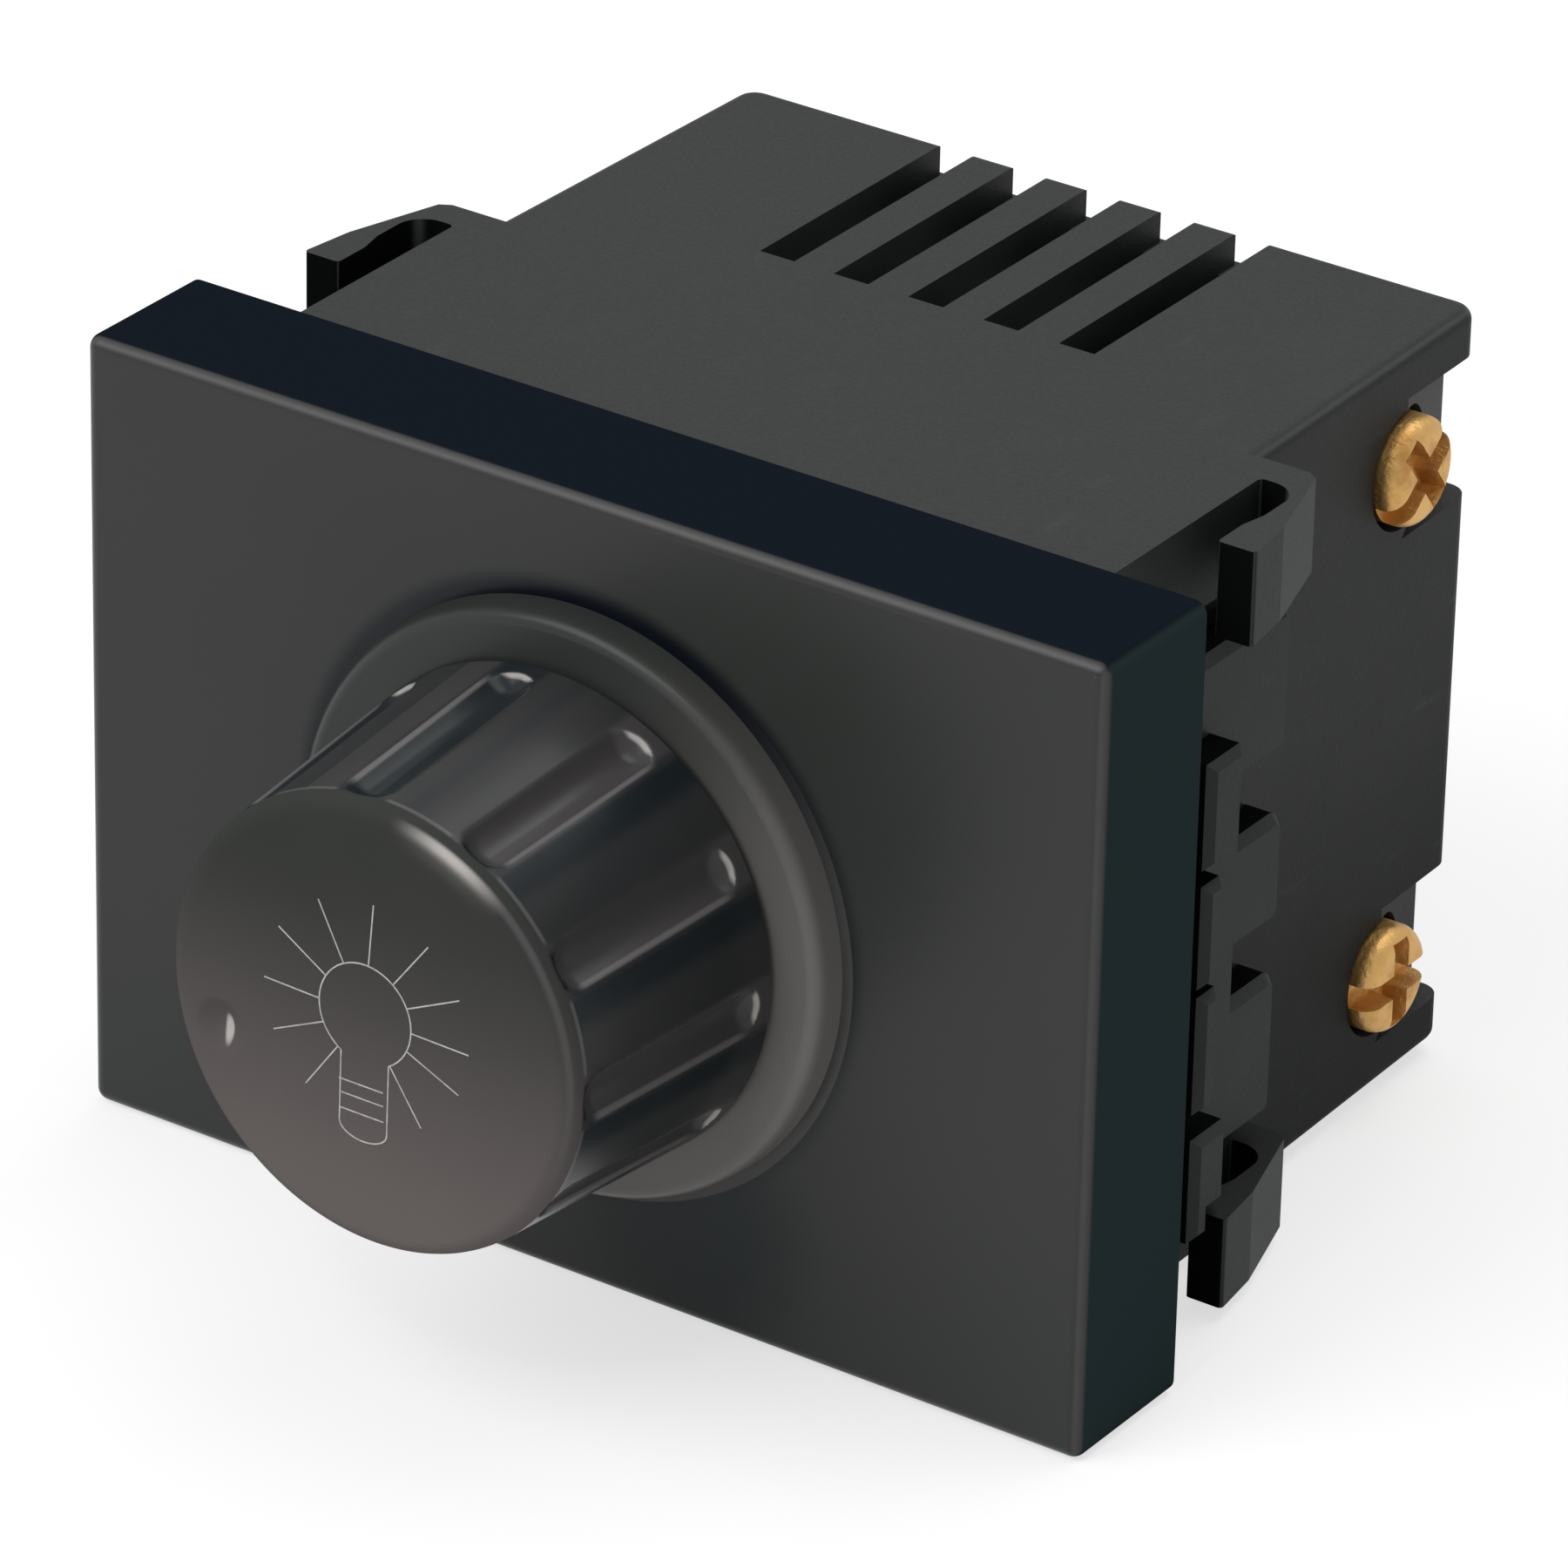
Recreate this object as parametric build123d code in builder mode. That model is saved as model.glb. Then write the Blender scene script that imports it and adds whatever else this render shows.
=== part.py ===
from build123d import *
from math import cos, radians, sin
import os

os.makedirs("parts", exist_ok=True)

# Rotary dimmer module for a wall frame. Millimetres, +Z up, knob towards -Y, wires enter from +Y.
# The origin is on the knob's axis, in the back plane of the front plate.

# front plate
plate_width = 48.8
plate_height = 35.0
plate_depth = 6.9
plate_face = 2.2
plate_wall = 1.3
plate_edge = 0.6
collar_radius = 12.75
collar_height = 1.5
collar_edge = 0.6
collar_bore_gap = 1.2
clip_x = 11.5
clip_width = 3.6
clip_thickness = 1.2
clip_hook = 0.7
clip_length = 9.6

# knob
knob_base_radius = 10.6
knob_face_radius = 9.65
knob_length = 14.0
knob_dome = 0.25
knob_rim = 0.8
knob_wall = 1.5
knob_cap = 1.9
knob_running_gap = 0.3
flute_count = 11
flute_first_angle = 30.6
flute_cutter_radius = 2.6
flute_depth = 0.62
flute_front_margin = 1.75
flute_rear_margin = 2.3
pointer_angle = 196.5
pointer_radius = 7.4
pointer_width = 1.9
pointer_depth = 0.45
knob_hub_wall = 1.35
knob_rib_count = 6
knob_rib = 1.0

# housing
housing_inset = 0.6
housing_depth = 30.5
housing_width = 37.5
housing_taper = 0.7
housing_wall = 1.6
housing_corner = 1.0
housing_edge = 0.55
spigot_length = 4.2
spigot_wall = 1.2
spigot_fit = 0.2

# vent slots, cut through the top and the bottom wall and open at the back
vent_count = 5
vent_pitch = 3.65
vent_width = 1.7
vent_length = 13.5
vent_notch = 1.4
vent_mouth = 0.5

# snap claws at the four corners of the sides
claw_height = 4.1
claw_stand = 0.8
claw_slot = 1.65
claw_thickness = 1.75
claw_free_end = 5.75
claw_flat = 2.6
claw_lean = 0.35
claw_bow = 0.25
claw_root = 13.05
claw_root_thickness = 1.6
claw_root_width = 1.75

# combs on both sides
comb_stand = 2.05
comb_front = 2.0
comb_rib_back = 9.3
comb_block_back = 12.5
comb_levels = (8.2, -0.3, -8.35)
comb_heights = (6.5, 4.9, 6.5)
comb_corner = 0.7
comb_edge = 0.4
tooth_stand = 1.7
tooth_front = 4.1
tooth_edge = 0.35
tooth_levels = (5.75, 0.4, -4.9, -10.5, -12.45)
tooth_heights = (4.7, 4.6, 5.3, 3.6, 1.9)
tooth_lengths = (2.4, 1.3, 1.3, 2.3, 1.2)

# potentiometer
bushing_wall = 0.45
bushing_length = 5.4
bushing_flange = 1.0
shaft_radius = 3.0
shaft_flat = 1.5
shaft_clearance = 0.05
nut_wall = 1.5
nut_height = 2.0
washer_width = 2.1
washer_thickness = 0.5
can_radius = 8.2
can_depth = 7.6
can_sheet = 0.4
wafer_thickness = 1.5
wafer_bore_gap = 0.6
wafer_tongue_width = 14.0
wafer_tongue_drop = 2.8
wiper_gap = 0.35
rotor_margin = 2.0
rotor_thickness = 1.2
pivot_radius = 1.5
pivot_gap = 0.4
wiper_sheet = 0.25
lug_pitch = 5.0
lug_width = 1.4
lug_sheet = 0.5

# circuit board, its pillars and its screws
board_stand = 1.7
board_thickness = 1.6
board_gap = 0.5
board_corner = 1.5
pillar_radius = 2.3
pillar_left_inset = 2.4
pillar_left_z = 11.4
pillar_right_inset = 2.6
pillar_right_z = 6.2
pilot_wall = 1.2
pilot_depth = 9.0
pilot_clearance = 0.05
board_screw_length = 8.0
board_screw_head = 1.9
board_screw_head_height = 1.6
lead_radius = 0.35
lead_clearance = 0.1
lead_tail = 0.8

# terminals and their screws
terminal_inset = 5.25
terminal_length = 7.4
terminal_width = 7.0
terminal_floor = 0.9
terminal_back_gap = 0.25
terminal_side_gap = 1.05
wire_radius = 1.7
wire_inset = 4.1
wire_bore_depth = 6.6
wire_entry_gap = 0.3
screw_radius = 1.3
screw_clearance = 0.05
screw_head_radius = 2.35
screw_head_height = 1.9
screw_stand = 1.05
screw_dome = 0.8
screw_travel_gap = 0.25
screw_head_gap = 0.3
screw_slot = 1.1
screw_slot_depth = 1.1
notch_depth = 1.6
notch_height = 6.3
notch_length = 5.6
screw_cross = 3.9
screw_turn_upper = 38.0
screw_turn_lower = 0.0
tail_inset = 3.0
tail_width = 2.2
tail_thickness = 0.8

# power parts on the board
triac_x = -1.5
triac_width = 10.0
triac_body_length = 9.0
triac_tab_length = 15.4
triac_tab = 1.3
triac_thickness = 4.5
triac_standoff = 3.8
triac_leg_pitch = 2.54
triac_leg_width = 0.8
triac_leg_sheet = 0.5
triac_hole = 3.2
sink_x = -2.0
sink_gap = 0.7
sink_thickness = 1.2
sink_width = 16.0
sink_stand = 2.0
sink_flange = 8.0
rivet_radius = 1.5
rivet_head_radius = 2.5
rivet_head = 0.5
choke_x = -8.4
choke_z = -0.8
choke_stand = 0.4
choke_outer = 6.2
choke_inner = 3.3
choke_height = 6.0
choke_wire = 0.7
choke_turns = 13
choke_gap = 0.05
film_x = 3.9
film_z = -0.4
film_width = 6.0
film_length = 12.5
film_depth = 11.0
film_pitch = 10.0
timing_x = 10.4
timing_z = 0.6
timing_width = 3.0
timing_length = 7.0
timing_depth = 7.0
timing_pitch = 5.0
resistor_radius = 1.2
resistor_length = 6.3
resistor_pitch = 10.0
resistor_right = (8.3, 9.2)
resistor_left = (-8.2, 8.0)
diac_x = 10.2
diac_z = -6.3
diac_radius = 0.95
diac_length = 3.2
diac_pitch = 5.4
fuse_radius = 2.5
fuse_length = 20.0
fuse_floor_gap = 0.35
fuse_x = -1.0
fuse_stand = 1.05
fuse_cap_length = 5.2
fuse_cap_sheet = 0.25
fuse_glass = 0.4
fuse_wire = 0.15
fuse_clip_sheet = 0.4
fuse_clip_width = 3.0
fuse_clip_inset = 2.4
fuse_pin_width = 1.2

# derived sizes of the housing
half_height = plate_height / 2 - housing_inset
front_half = housing_width / 2
rear_half = front_half - housing_taper
plate_inner = plate_face - plate_depth
spigot_half_height = plate_height / 2 - plate_wall - spigot_fit
cavity_half_height = spigot_half_height - spigot_wall
cavity_rear = housing_depth - housing_wall
spigot_half_width = front_half - 0.3
cavity_front_half = spigot_half_width - spigot_wall
cavity_rear_half = rear_half - housing_wall
claw_body = front_half + claw_stand
claw_root_reach = claw_body + claw_root_width
comb_reach = front_half + comb_stand
comb_top = comb_levels[0] + comb_heights[0] / 2
comb_bottom = comb_levels[-1] - comb_heights[-1] / 2
tooth_reach = comb_reach + tooth_stand

# derived sizes of the knob and the potentiometer
bushing_radius = shaft_radius + shaft_clearance + bushing_wall
washer_radius = bushing_radius + washer_width
nut_corner_radius = (bushing_radius + nut_wall) / cos(radians(30))
collar_bore_radius = nut_corner_radius + collar_bore_gap
knob_rear = plate_depth + collar_height + knob_running_gap
knob_front = plate_depth + knob_length
hub_rear = plate_depth - plate_face + bushing_length + 0.6
hub_radius = shaft_radius + shaft_clearance + knob_hub_wall
shaft_front = knob_front - knob_cap - 0.5
flange_rear = plate_inner + bushing_flange
cover_rear = flange_rear + can_depth
wafer_rear = flange_rear + wafer_thickness
wiper_front = wafer_rear + wiper_gap
rotor_front = wiper_front + wiper_sheet
rotor_radius = can_radius - can_sheet - rotor_margin
tongue_end = can_radius + wafer_tongue_drop
lug_level = 0.4 - tongue_end

# derived sizes of the board and what stands on it
board_front = cover_rear + board_stand
board_rear = board_front + board_thickness
board_half_width = cavity_front_half - board_gap - (cavity_front_half - cavity_rear_half) * board_rear / cavity_rear
board_half_height = cavity_half_height - board_gap
lead_end = board_front - lead_tail
pilot_radius = pillar_radius - pilot_wall
board_screw_radius = pilot_radius - pilot_clearance
sink_top = cavity_half_height - sink_gap
tab_top = sink_top - sink_thickness
leg_level = tab_top - 2.5
triac_front = board_rear + triac_standoff
tab_end = triac_front + triac_tab_length
tab_hole_y = tab_end - triac_hole
sink_front = board_rear + sink_stand
sink_rear = tab_end + 0.1 + sink_thickness
fuse_cap_radius = fuse_radius + fuse_cap_sheet
fuse_clip_radius = fuse_cap_radius + fuse_clip_sheet
fuse_y = board_rear + fuse_stand + fuse_clip_radius
fuse_z = fuse_floor_gap + fuse_clip_radius - cavity_half_height
fuse_clip_spread = fuse_length / 2 - fuse_clip_inset

# derived sizes of the terminals
terminal_z = half_height - terminal_inset
terminal_back = cavity_rear - terminal_back_gap
terminal_y = terminal_back - terminal_length / 2
terminal_front = terminal_back - terminal_length
terminal_height = 2 * (wire_radius + terminal_floor)
terminal_outer = cavity_rear_half - terminal_side_gap
wire_x = terminal_outer - wire_inset
wire_entry_radius = wire_radius + wire_entry_gap
tail_x = terminal_outer - tail_inset
screw_tip = wire_x + wire_radius + screw_travel_gap


def side_at(depth):
    """Half width of the tapered housing at a depth behind the plate."""
    return front_half - housing_taper * depth / housing_depth


screw_head_face = side_at(terminal_y) + screw_stand
screw_head_seat = screw_head_face - screw_head_height


def d_section(radius, flat):
    """Round section with one flat on its upper side, drawn in the open sketch."""
    Circle(radius)
    with Locations((0, 2 * radius - flat)):
        Rectangle(2 * radius, 2 * radius, mode=Mode.SUBTRACT)


# front plate: a moulded cap with a raised collar behind the knob, a bushing hole and four clip arms
with BuildPart() as front_plate:
    with BuildSketch(Plane.XZ):
        Rectangle(plate_width, plate_height)
    extrude(amount=plate_depth)
    fillet(front_plate.edges().filter_by(Axis.Y), radius=plate_edge)
    fillet(front_plate.faces().sort_by(Axis.Y)[0].edges(), radius=plate_edge)
    with BuildSketch(Plane.XZ):
        RectangleRounded(plate_width - 2 * plate_wall, plate_height - 2 * plate_wall, plate_edge)
    extrude(amount=plate_depth - plate_face, mode=Mode.SUBTRACT)
    with BuildSketch(Plane.XY):
        with BuildLine():
            Polyline(
                (collar_bore_radius, -plate_depth),
                (collar_bore_radius, -plate_depth - collar_height),
                (collar_radius - 0.15, -plate_depth - collar_height),
                (collar_radius, -plate_depth),
                close=True,
            )
        make_face()
        fillet(vertices().group_by(Axis.Y)[0].sort_by(Axis.X)[-1], radius=collar_edge)
    revolve(axis=Axis.Y)
    with BuildSketch(Plane.XZ.offset(plate_depth)):
        Circle(bushing_radius + shaft_clearance)
    extrude(amount=-plate_face, mode=Mode.SUBTRACT)
    for side in (-1, 1):
        with BuildSketch(Plane.YZ.offset(side * clip_x)):
            with BuildLine():
                Polyline(
                    (plate_inner, cavity_half_height - 0.3 - clip_thickness),
                    (plate_inner, cavity_half_height - 0.3),
                    (plate_inner + clip_length - 2.2, cavity_half_height - 0.3),
                    (plate_inner + clip_length - 2.0, cavity_half_height - 0.3 + clip_hook),
                    (plate_inner + clip_length, cavity_half_height - 0.3),
                    (plate_inner + clip_length, cavity_half_height - 0.3 - clip_thickness),
                    close=True,
                )
            make_face()
            mirror(about=Plane.XZ)
        extrude(amount=clip_width / 2, both=True)
front_plate.part.label = "front_plate"
export_step(front_plate.part, "parts/front_plate.step")

# flute cutter: a ball-ended bar that lies along the knob's taper
flute_start = knob_rear + flute_rear_margin
flute_end = knob_front - flute_front_margin
taper_run = knob_front - knob_rear
taper_drop = knob_base_radius - knob_face_radius


def knob_radius(height):
    """Outer radius of the knob at a height before the plate's back plane."""
    return knob_base_radius - taper_drop * (height - knob_rear) / taper_run


flute_lift = flute_cutter_radius - flute_depth
flute_root = Vector(knob_radius(flute_start) + flute_lift, -flute_start, 0)
flute_tip = Vector(knob_radius(flute_end) + flute_lift, -flute_end, 0)
with BuildPart() as flute_cutter:
    with BuildSketch(Plane(origin=flute_root, z_dir=flute_tip - flute_root)):
        Circle(flute_cutter_radius)
    extrude(amount=(flute_tip - flute_root).length)
    with Locations(flute_root, flute_tip):
        Sphere(flute_cutter_radius)

# knob: a fluted, tapered cup with a ribbed hub for the shaft
pointer_ball = (pointer_width**2 / 4 + pointer_depth**2) / (2 * pointer_depth)
with BuildPart() as knob:
    with BuildSketch(Plane.XY):
        with BuildLine():
            Line((0, -knob_rear), (knob_base_radius, -knob_rear))
            Line((knob_base_radius, -knob_rear), (knob_face_radius, -knob_front + knob_dome))
            ThreePointArc(
                (knob_face_radius, -knob_front + knob_dome),
                (knob_face_radius / 2, -knob_front + knob_dome / 4),
                (0, -knob_front),
            )
            Line((0, -knob_front), (0, -knob_rear))
        make_face()
        fillet(vertices().sort_by(Axis.X)[-2], radius=knob_rim)
    revolve(axis=Axis.Y)
    with Locations(*(Location((0, 0, 0), (0, -flute_first_angle - 360 / flute_count * i, 0))
                     for i in range(flute_count))):
        add(flute_cutter.part, mode=Mode.SUBTRACT)
    with BuildSketch(Plane.XY):
        Polygon(
            (0, -knob_rear),
            (knob_base_radius - knob_wall, -knob_rear),
            (knob_face_radius - knob_wall - 0.2, -knob_front + knob_cap),
            (hub_radius, -knob_front + knob_cap),
            (hub_radius, -hub_rear),
            (0, -hub_rear),
            align=None,
        )
    revolve(axis=Axis.Y, mode=Mode.SUBTRACT)
    rib_reach = knob_face_radius - knob_wall - hub_radius + 0.4
    with BuildSketch(Plane.XZ.offset(hub_rear + 1.0)):
        with PolarLocations(hub_radius - 0.3 + rib_reach / 2, knob_rib_count):
            Rectangle(rib_reach, knob_rib)
    extrude(amount=knob_front - knob_cap - hub_rear - 0.9)
    with BuildSketch(Plane.XZ.offset(hub_rear)):
        d_section(shaft_radius + shaft_clearance, shaft_flat)
    extrude(amount=shaft_front - hub_rear + 0.2, mode=Mode.SUBTRACT)
    pointer_at = (
        pointer_radius * cos(radians(pointer_angle)),
        -knob_front - pointer_ball + pointer_depth + knob_dome / 2,
        pointer_radius * sin(radians(pointer_angle)),
    )
    with Locations(pointer_at):
        Sphere(pointer_ball, mode=Mode.SUBTRACT)
knob.part.label = "knob"
export_step(knob.part, "parts/knob.step")

# snap claw, right upper corner: a bent arm with its free end towards the plate
claw_inner = claw_body + claw_slot
claw_outer = claw_inner + claw_thickness
slot_end = claw_root - claw_root_thickness
with BuildPart() as claw:
    with BuildSketch(Plane.XY.offset(half_height - claw_height)):
        with BuildLine():
            Polyline(
                (side_at(claw_root) - 0.8, 0),
                (claw_body, 0),
                (claw_body, slot_end),
                (claw_inner + claw_bow, slot_end),
                (claw_inner + claw_bow, claw_free_end + 3.0),
                (claw_inner, claw_free_end + 1.8),
                (claw_inner, claw_free_end),
                (claw_outer, claw_free_end),
                (claw_outer - claw_lean, claw_free_end + claw_flat),
                (claw_root_reach, claw_root - 0.3),
                (claw_root_reach - 0.5, claw_root),
                (side_at(claw_root) - 0.8, claw_root),
                close=True,
            )
        make_face()
        fillet(vertices().filter_by(lambda v: abs(v.X - claw_inner - claw_bow) < 0.01 and v.Y > slot_end - 1), 1.25)
        fillet(vertices().filter_by(lambda v: abs(v.X - claw_body) < 0.01 and v.Y > 1), 0.25)
        fillet(vertices().filter_by(lambda v: abs(v.Y - claw_free_end) < 0.01), 0.2)
    extrude(amount=claw_height)

# comb of the right side: a rib with three blocks that point backwards
with BuildPart() as comb:
    with BuildSketch(Plane.YZ.offset(rear_half - 0.6)):
        with Locations(((comb_front + comb_rib_back) / 2, (comb_top + comb_bottom) / 2)):
            Rectangle(comb_rib_back - comb_front, comb_top - comb_bottom)
        for level, height in zip(comb_levels, comb_heights):
            with Locations(((comb_front + comb_block_back) / 2, level)):
                Rectangle(comb_block_back - comb_front, height)
        fillet(vertices().group_by(Axis.X)[-1], radius=comb_corner)
    extrude(amount=comb_reach - rear_half + 0.6)
    chamfer(comb.faces().sort_by(Axis.X)[-1].edges(), length=comb_edge)

# housing: one moulding with claws, combs, vents, screw notches and the inner pillars
with BuildPart() as housing:
    with BuildSketch(Plane.XY.offset(-half_height)):
        Polygon(
            (-front_half, 0),
            (front_half, 0),
            (rear_half, housing_depth),
            (-rear_half, housing_depth),
            align=None,
        )
    extrude(amount=2 * half_height)
    fillet(housing.edges().filter_by(Axis.Z).group_by(Axis.Y)[-1], radius=housing_corner)
    front_edges = housing.faces().sort_by(Axis.Y)[0].edges()
    fillet(housing.faces().filter_by(Axis.Z).edges() - front_edges, radius=housing_edge)
    add(claw.part)
    mirror(about=Plane.XY)
    add(comb.part)
    mirror(about=Plane.YZ)
    for side in (-1, 1):
        for level, height, length in zip(tooth_levels, tooth_heights, tooth_lengths):
            with BuildSketch(Plane.YZ.offset(side * (comb_reach - 0.2))):
                with Locations((tooth_front + length / 2, level)):
                    Rectangle(length, height)
            extrude(amount=side * (tooth_reach - comb_reach + 0.2))
    tips = housing.faces().filter_by(lambda f: abs(abs(f.center().X) - tooth_reach) < 0.01)
    chamfer(tips.edges(), length=tooth_edge)
    with BuildSketch(Plane.XZ):
        Rectangle(2 * spigot_half_width, 2 * spigot_half_height)
    extrude(amount=spigot_length)
    with BuildSketch(Plane.XY.offset(-cavity_half_height)):
        Polygon(
            (-cavity_front_half, -spigot_length - 0.1),
            (cavity_front_half, -spigot_length - 0.1),
            (cavity_front_half, 0),
            (cavity_rear_half, cavity_rear),
            (-cavity_rear_half, cavity_rear),
            (-cavity_front_half, 0),
            align=None,
        )
    extrude(amount=2 * cavity_half_height, mode=Mode.SUBTRACT)
    # recesses that take the hooks of the front plate
    with GridLocations(2 * clip_x, 0, 2, 1):
        with Locations((0, plate_inner + clip_length - 1.0, 0)):
            Box(clip_width + 0.6, 2.8, 2 * (cavity_half_height + clip_hook + 0.2), mode=Mode.SUBTRACT)
    # pads and cages round the two terminals
    for level in (-1, 1):
        pad_height = terminal_height + 2.4
        with Locations((0, 0, level * terminal_z)):
            with Locations((terminal_outer + 0.1, terminal_front - 0.8, -pad_height / 2 + 0.3)):
                Box(
                    rear_half - 0.6 - terminal_outer,
                    cavity_rear - terminal_front + 1.0,
                    pad_height - 0.6,
                    align=Align.MIN,
                )
            with Locations((terminal_outer - terminal_width - 1.4, terminal_front + 1.0, -pad_height / 2 + 0.5)):
                Box(1.2, cavity_rear - terminal_front - 0.8, pad_height - 1.0, align=Align.MIN)
    # pillars and pilot holes for the board screws
    pillar_places = [
        (pillar_left_inset - board_half_width, pillar_left_z),
        (pillar_left_inset - board_half_width, -pillar_left_z),
        (board_half_width - pillar_right_inset, pillar_right_z),
        (board_half_width - pillar_right_inset, -pillar_right_z),
    ]
    with BuildSketch(Plane.XZ.offset(-board_rear)):
        with Locations(*pillar_places):
            Circle(pillar_radius)
    extrude(amount=-(cavity_rear + 0.4 - board_rear))
    with BuildSketch(Plane.XZ.offset(-board_rear)):
        with Locations(*pillar_places):
            Circle(pilot_radius)
    extrude(amount=-pilot_depth, mode=Mode.SUBTRACT)
    # side notches that lead to the terminal screws, and the holes the heads sink into
    for level in (-1, 1):
        with BuildSketch(Plane.XY.offset(level * terminal_z - notch_height / 2)):
            Polygon(
                (side_at(housing_depth - notch_length), housing_depth - notch_length),
                (rear_half - notch_depth, housing_depth + 0.1),
                (rear_half + 1, housing_depth + 0.1),
                (rear_half + 1, housing_depth - notch_length),
                align=None,
            )
        extrude(amount=notch_height, mode=Mode.SUBTRACT)
        with BuildSketch(Plane.YZ.offset(terminal_outer - 0.5)):
            with Locations((terminal_y, level * terminal_z)):
                Circle(screw_head_radius + screw_head_gap)
        extrude(amount=6, mode=Mode.SUBTRACT)
        with BuildSketch(Plane.XZ.offset(-housing_depth)):
            with Locations((wire_x, level * terminal_z)):
                Circle(wire_entry_radius)
        extrude(amount=housing_wall + 0.2, mode=Mode.SUBTRACT)
    entry_rims = housing.faces().sort_by(Axis.Y)[-1].edges().filter_by(GeomType.CIRCLE)
    chamfer(entry_rims.filter_by(lambda e: abs(e.radius - wire_entry_radius) < 0.01), length=0.5)
    # vents, with rounded mouths at the back
    with GridLocations(vent_pitch, 0, vent_count, 1):
        with Locations((0, (housing_depth - vent_length + cavity_rear) / 2, 0)):
            Box(vent_width, vent_length - housing_wall, 2 * half_height + 1, mode=Mode.SUBTRACT)
    for notch_level in (half_height - vent_notch, -half_height - 0.5):
        with BuildSketch(Plane.XY.offset(notch_level)):
            with GridLocations(vent_pitch, 0, vent_count, 1):
                with Locations((0, housing_depth - vent_length / 2 + 0.05)):
                    Rectangle(vent_width, vent_length + 0.1)
                with Locations((0, housing_depth - vent_mouth / 2 + 0.05)):
                    Rectangle(vent_width + 2 * vent_mouth, vent_mouth + 0.1)
            with GridLocations(vent_pitch, 0, vent_count, 1):
                with Locations((0, housing_depth - vent_mouth)):
                    with GridLocations(vent_width + 2 * vent_mouth, 0, 2, 1):
                        RegularPolygon(vent_mouth, 8, major_radius=False, rotation=22.5, mode=Mode.SUBTRACT)
        extrude(amount=vent_notch + 0.5, mode=Mode.SUBTRACT)
housing.part.label = "housing"
export_step(housing.part, "parts/housing.step")

# potentiometer bushing: a flange behind the plate and a neck through it
with BuildPart() as pot_bushing:
    with BuildSketch(Plane.XZ.offset(-flange_rear)):
        Circle(can_radius)
    extrude(amount=bushing_flange)
    with BuildSketch(Plane.XZ.offset(-plate_inner)):
        Circle(bushing_radius)
    extrude(amount=bushing_length)
    chamfer(pot_bushing.faces().sort_by(Axis.Y)[0].edges(), length=0.3)
    with BuildSketch(Plane.XZ.offset(-flange_rear)):
        Circle(shaft_radius + shaft_clearance)
    extrude(amount=bushing_flange + bushing_length, mode=Mode.SUBTRACT)
pot_bushing.part.label = "pot_bushing"
export_step(pot_bushing.part, "parts/pot_bushing.step")

with BuildPart() as pot_washer:
    with BuildSketch(Plane.XZ.offset(plate_depth)):
        Circle(washer_radius)
        Circle(bushing_radius + 0.1, mode=Mode.SUBTRACT)
    extrude(amount=washer_thickness)
pot_washer.part.label = "pot_washer"
export_step(pot_washer.part, "parts/pot_washer.step")

with BuildPart() as pot_nut:
    with BuildSketch(Plane.XZ.offset(plate_depth + washer_thickness)):
        RegularPolygon(bushing_radius + nut_wall, 6, major_radius=False)
        Circle(bushing_radius + 0.05, mode=Mode.SUBTRACT)
    extrude(amount=nut_height)
pot_nut.part.label = "pot_nut"
export_step(pot_nut.part, "parts/pot_nut.step")

# potentiometer can: a drawn cup, open at the bottom where the wafer's tongue leaves it
with BuildPart() as pot_cover:
    with BuildSketch(Plane.XZ.offset(-cover_rear)):
        Circle(can_radius)
    extrude(amount=can_depth)
    chamfer(pot_cover.faces().sort_by(Axis.Y)[-1].edges(), length=0.6)
    with BuildSketch(Plane.XZ.offset(-cover_rear + can_sheet)):
        Circle(can_radius - can_sheet)
    extrude(amount=can_depth, mode=Mode.SUBTRACT)
    tongue_gap = wafer_tongue_width + 0.2
    with Locations((0, wafer_rear - wafer_thickness / 2, -can_radius / 2)):
        Box(tongue_gap, wafer_thickness + 0.2, can_radius + 0.2, mode=Mode.SUBTRACT)
pot_cover.part.label = "pot_cover"
export_step(pot_cover.part, "parts/pot_cover.step")

with BuildPart() as pot_wafer:
    with BuildSketch(Plane.XZ.offset(-wafer_rear)):
        Circle(can_radius - can_sheet - 0.1)
        with Locations((0, -tongue_end / 2)):
            Rectangle(wafer_tongue_width, tongue_end)
        Circle(shaft_radius + wafer_bore_gap, mode=Mode.SUBTRACT)
    extrude(amount=wafer_thickness)
pot_wafer.part.label = "pot_wafer"
export_step(pot_wafer.part, "parts/pot_wafer.step")

# three bent solder lugs, from the wafer's tongue through the board
with BuildPart() as pot_lugs:
    with BuildSketch(Plane.YZ.offset(-lug_width / 2)):
        with BuildLine():
            Polyline(
                (wafer_rear, lug_level + 1.8),
                (wafer_rear, lug_level),
                (board_rear + lead_tail, lug_level),
                (board_rear + lead_tail, lug_level + lug_sheet),
                (wafer_rear + lug_sheet, lug_level + lug_sheet),
                (wafer_rear + lug_sheet, lug_level + 1.8),
                close=True,
            )
        make_face()
    lug = extrude(amount=lug_width, mode=Mode.PRIVATE)
    with Locations(*((x, 0, 0) for x in (-lug_pitch, 0, lug_pitch))):
        add(lug)
pot_lugs.part.label = "pot_lugs"
export_step(pot_lugs.part, "parts/pot_lugs.step")

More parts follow.
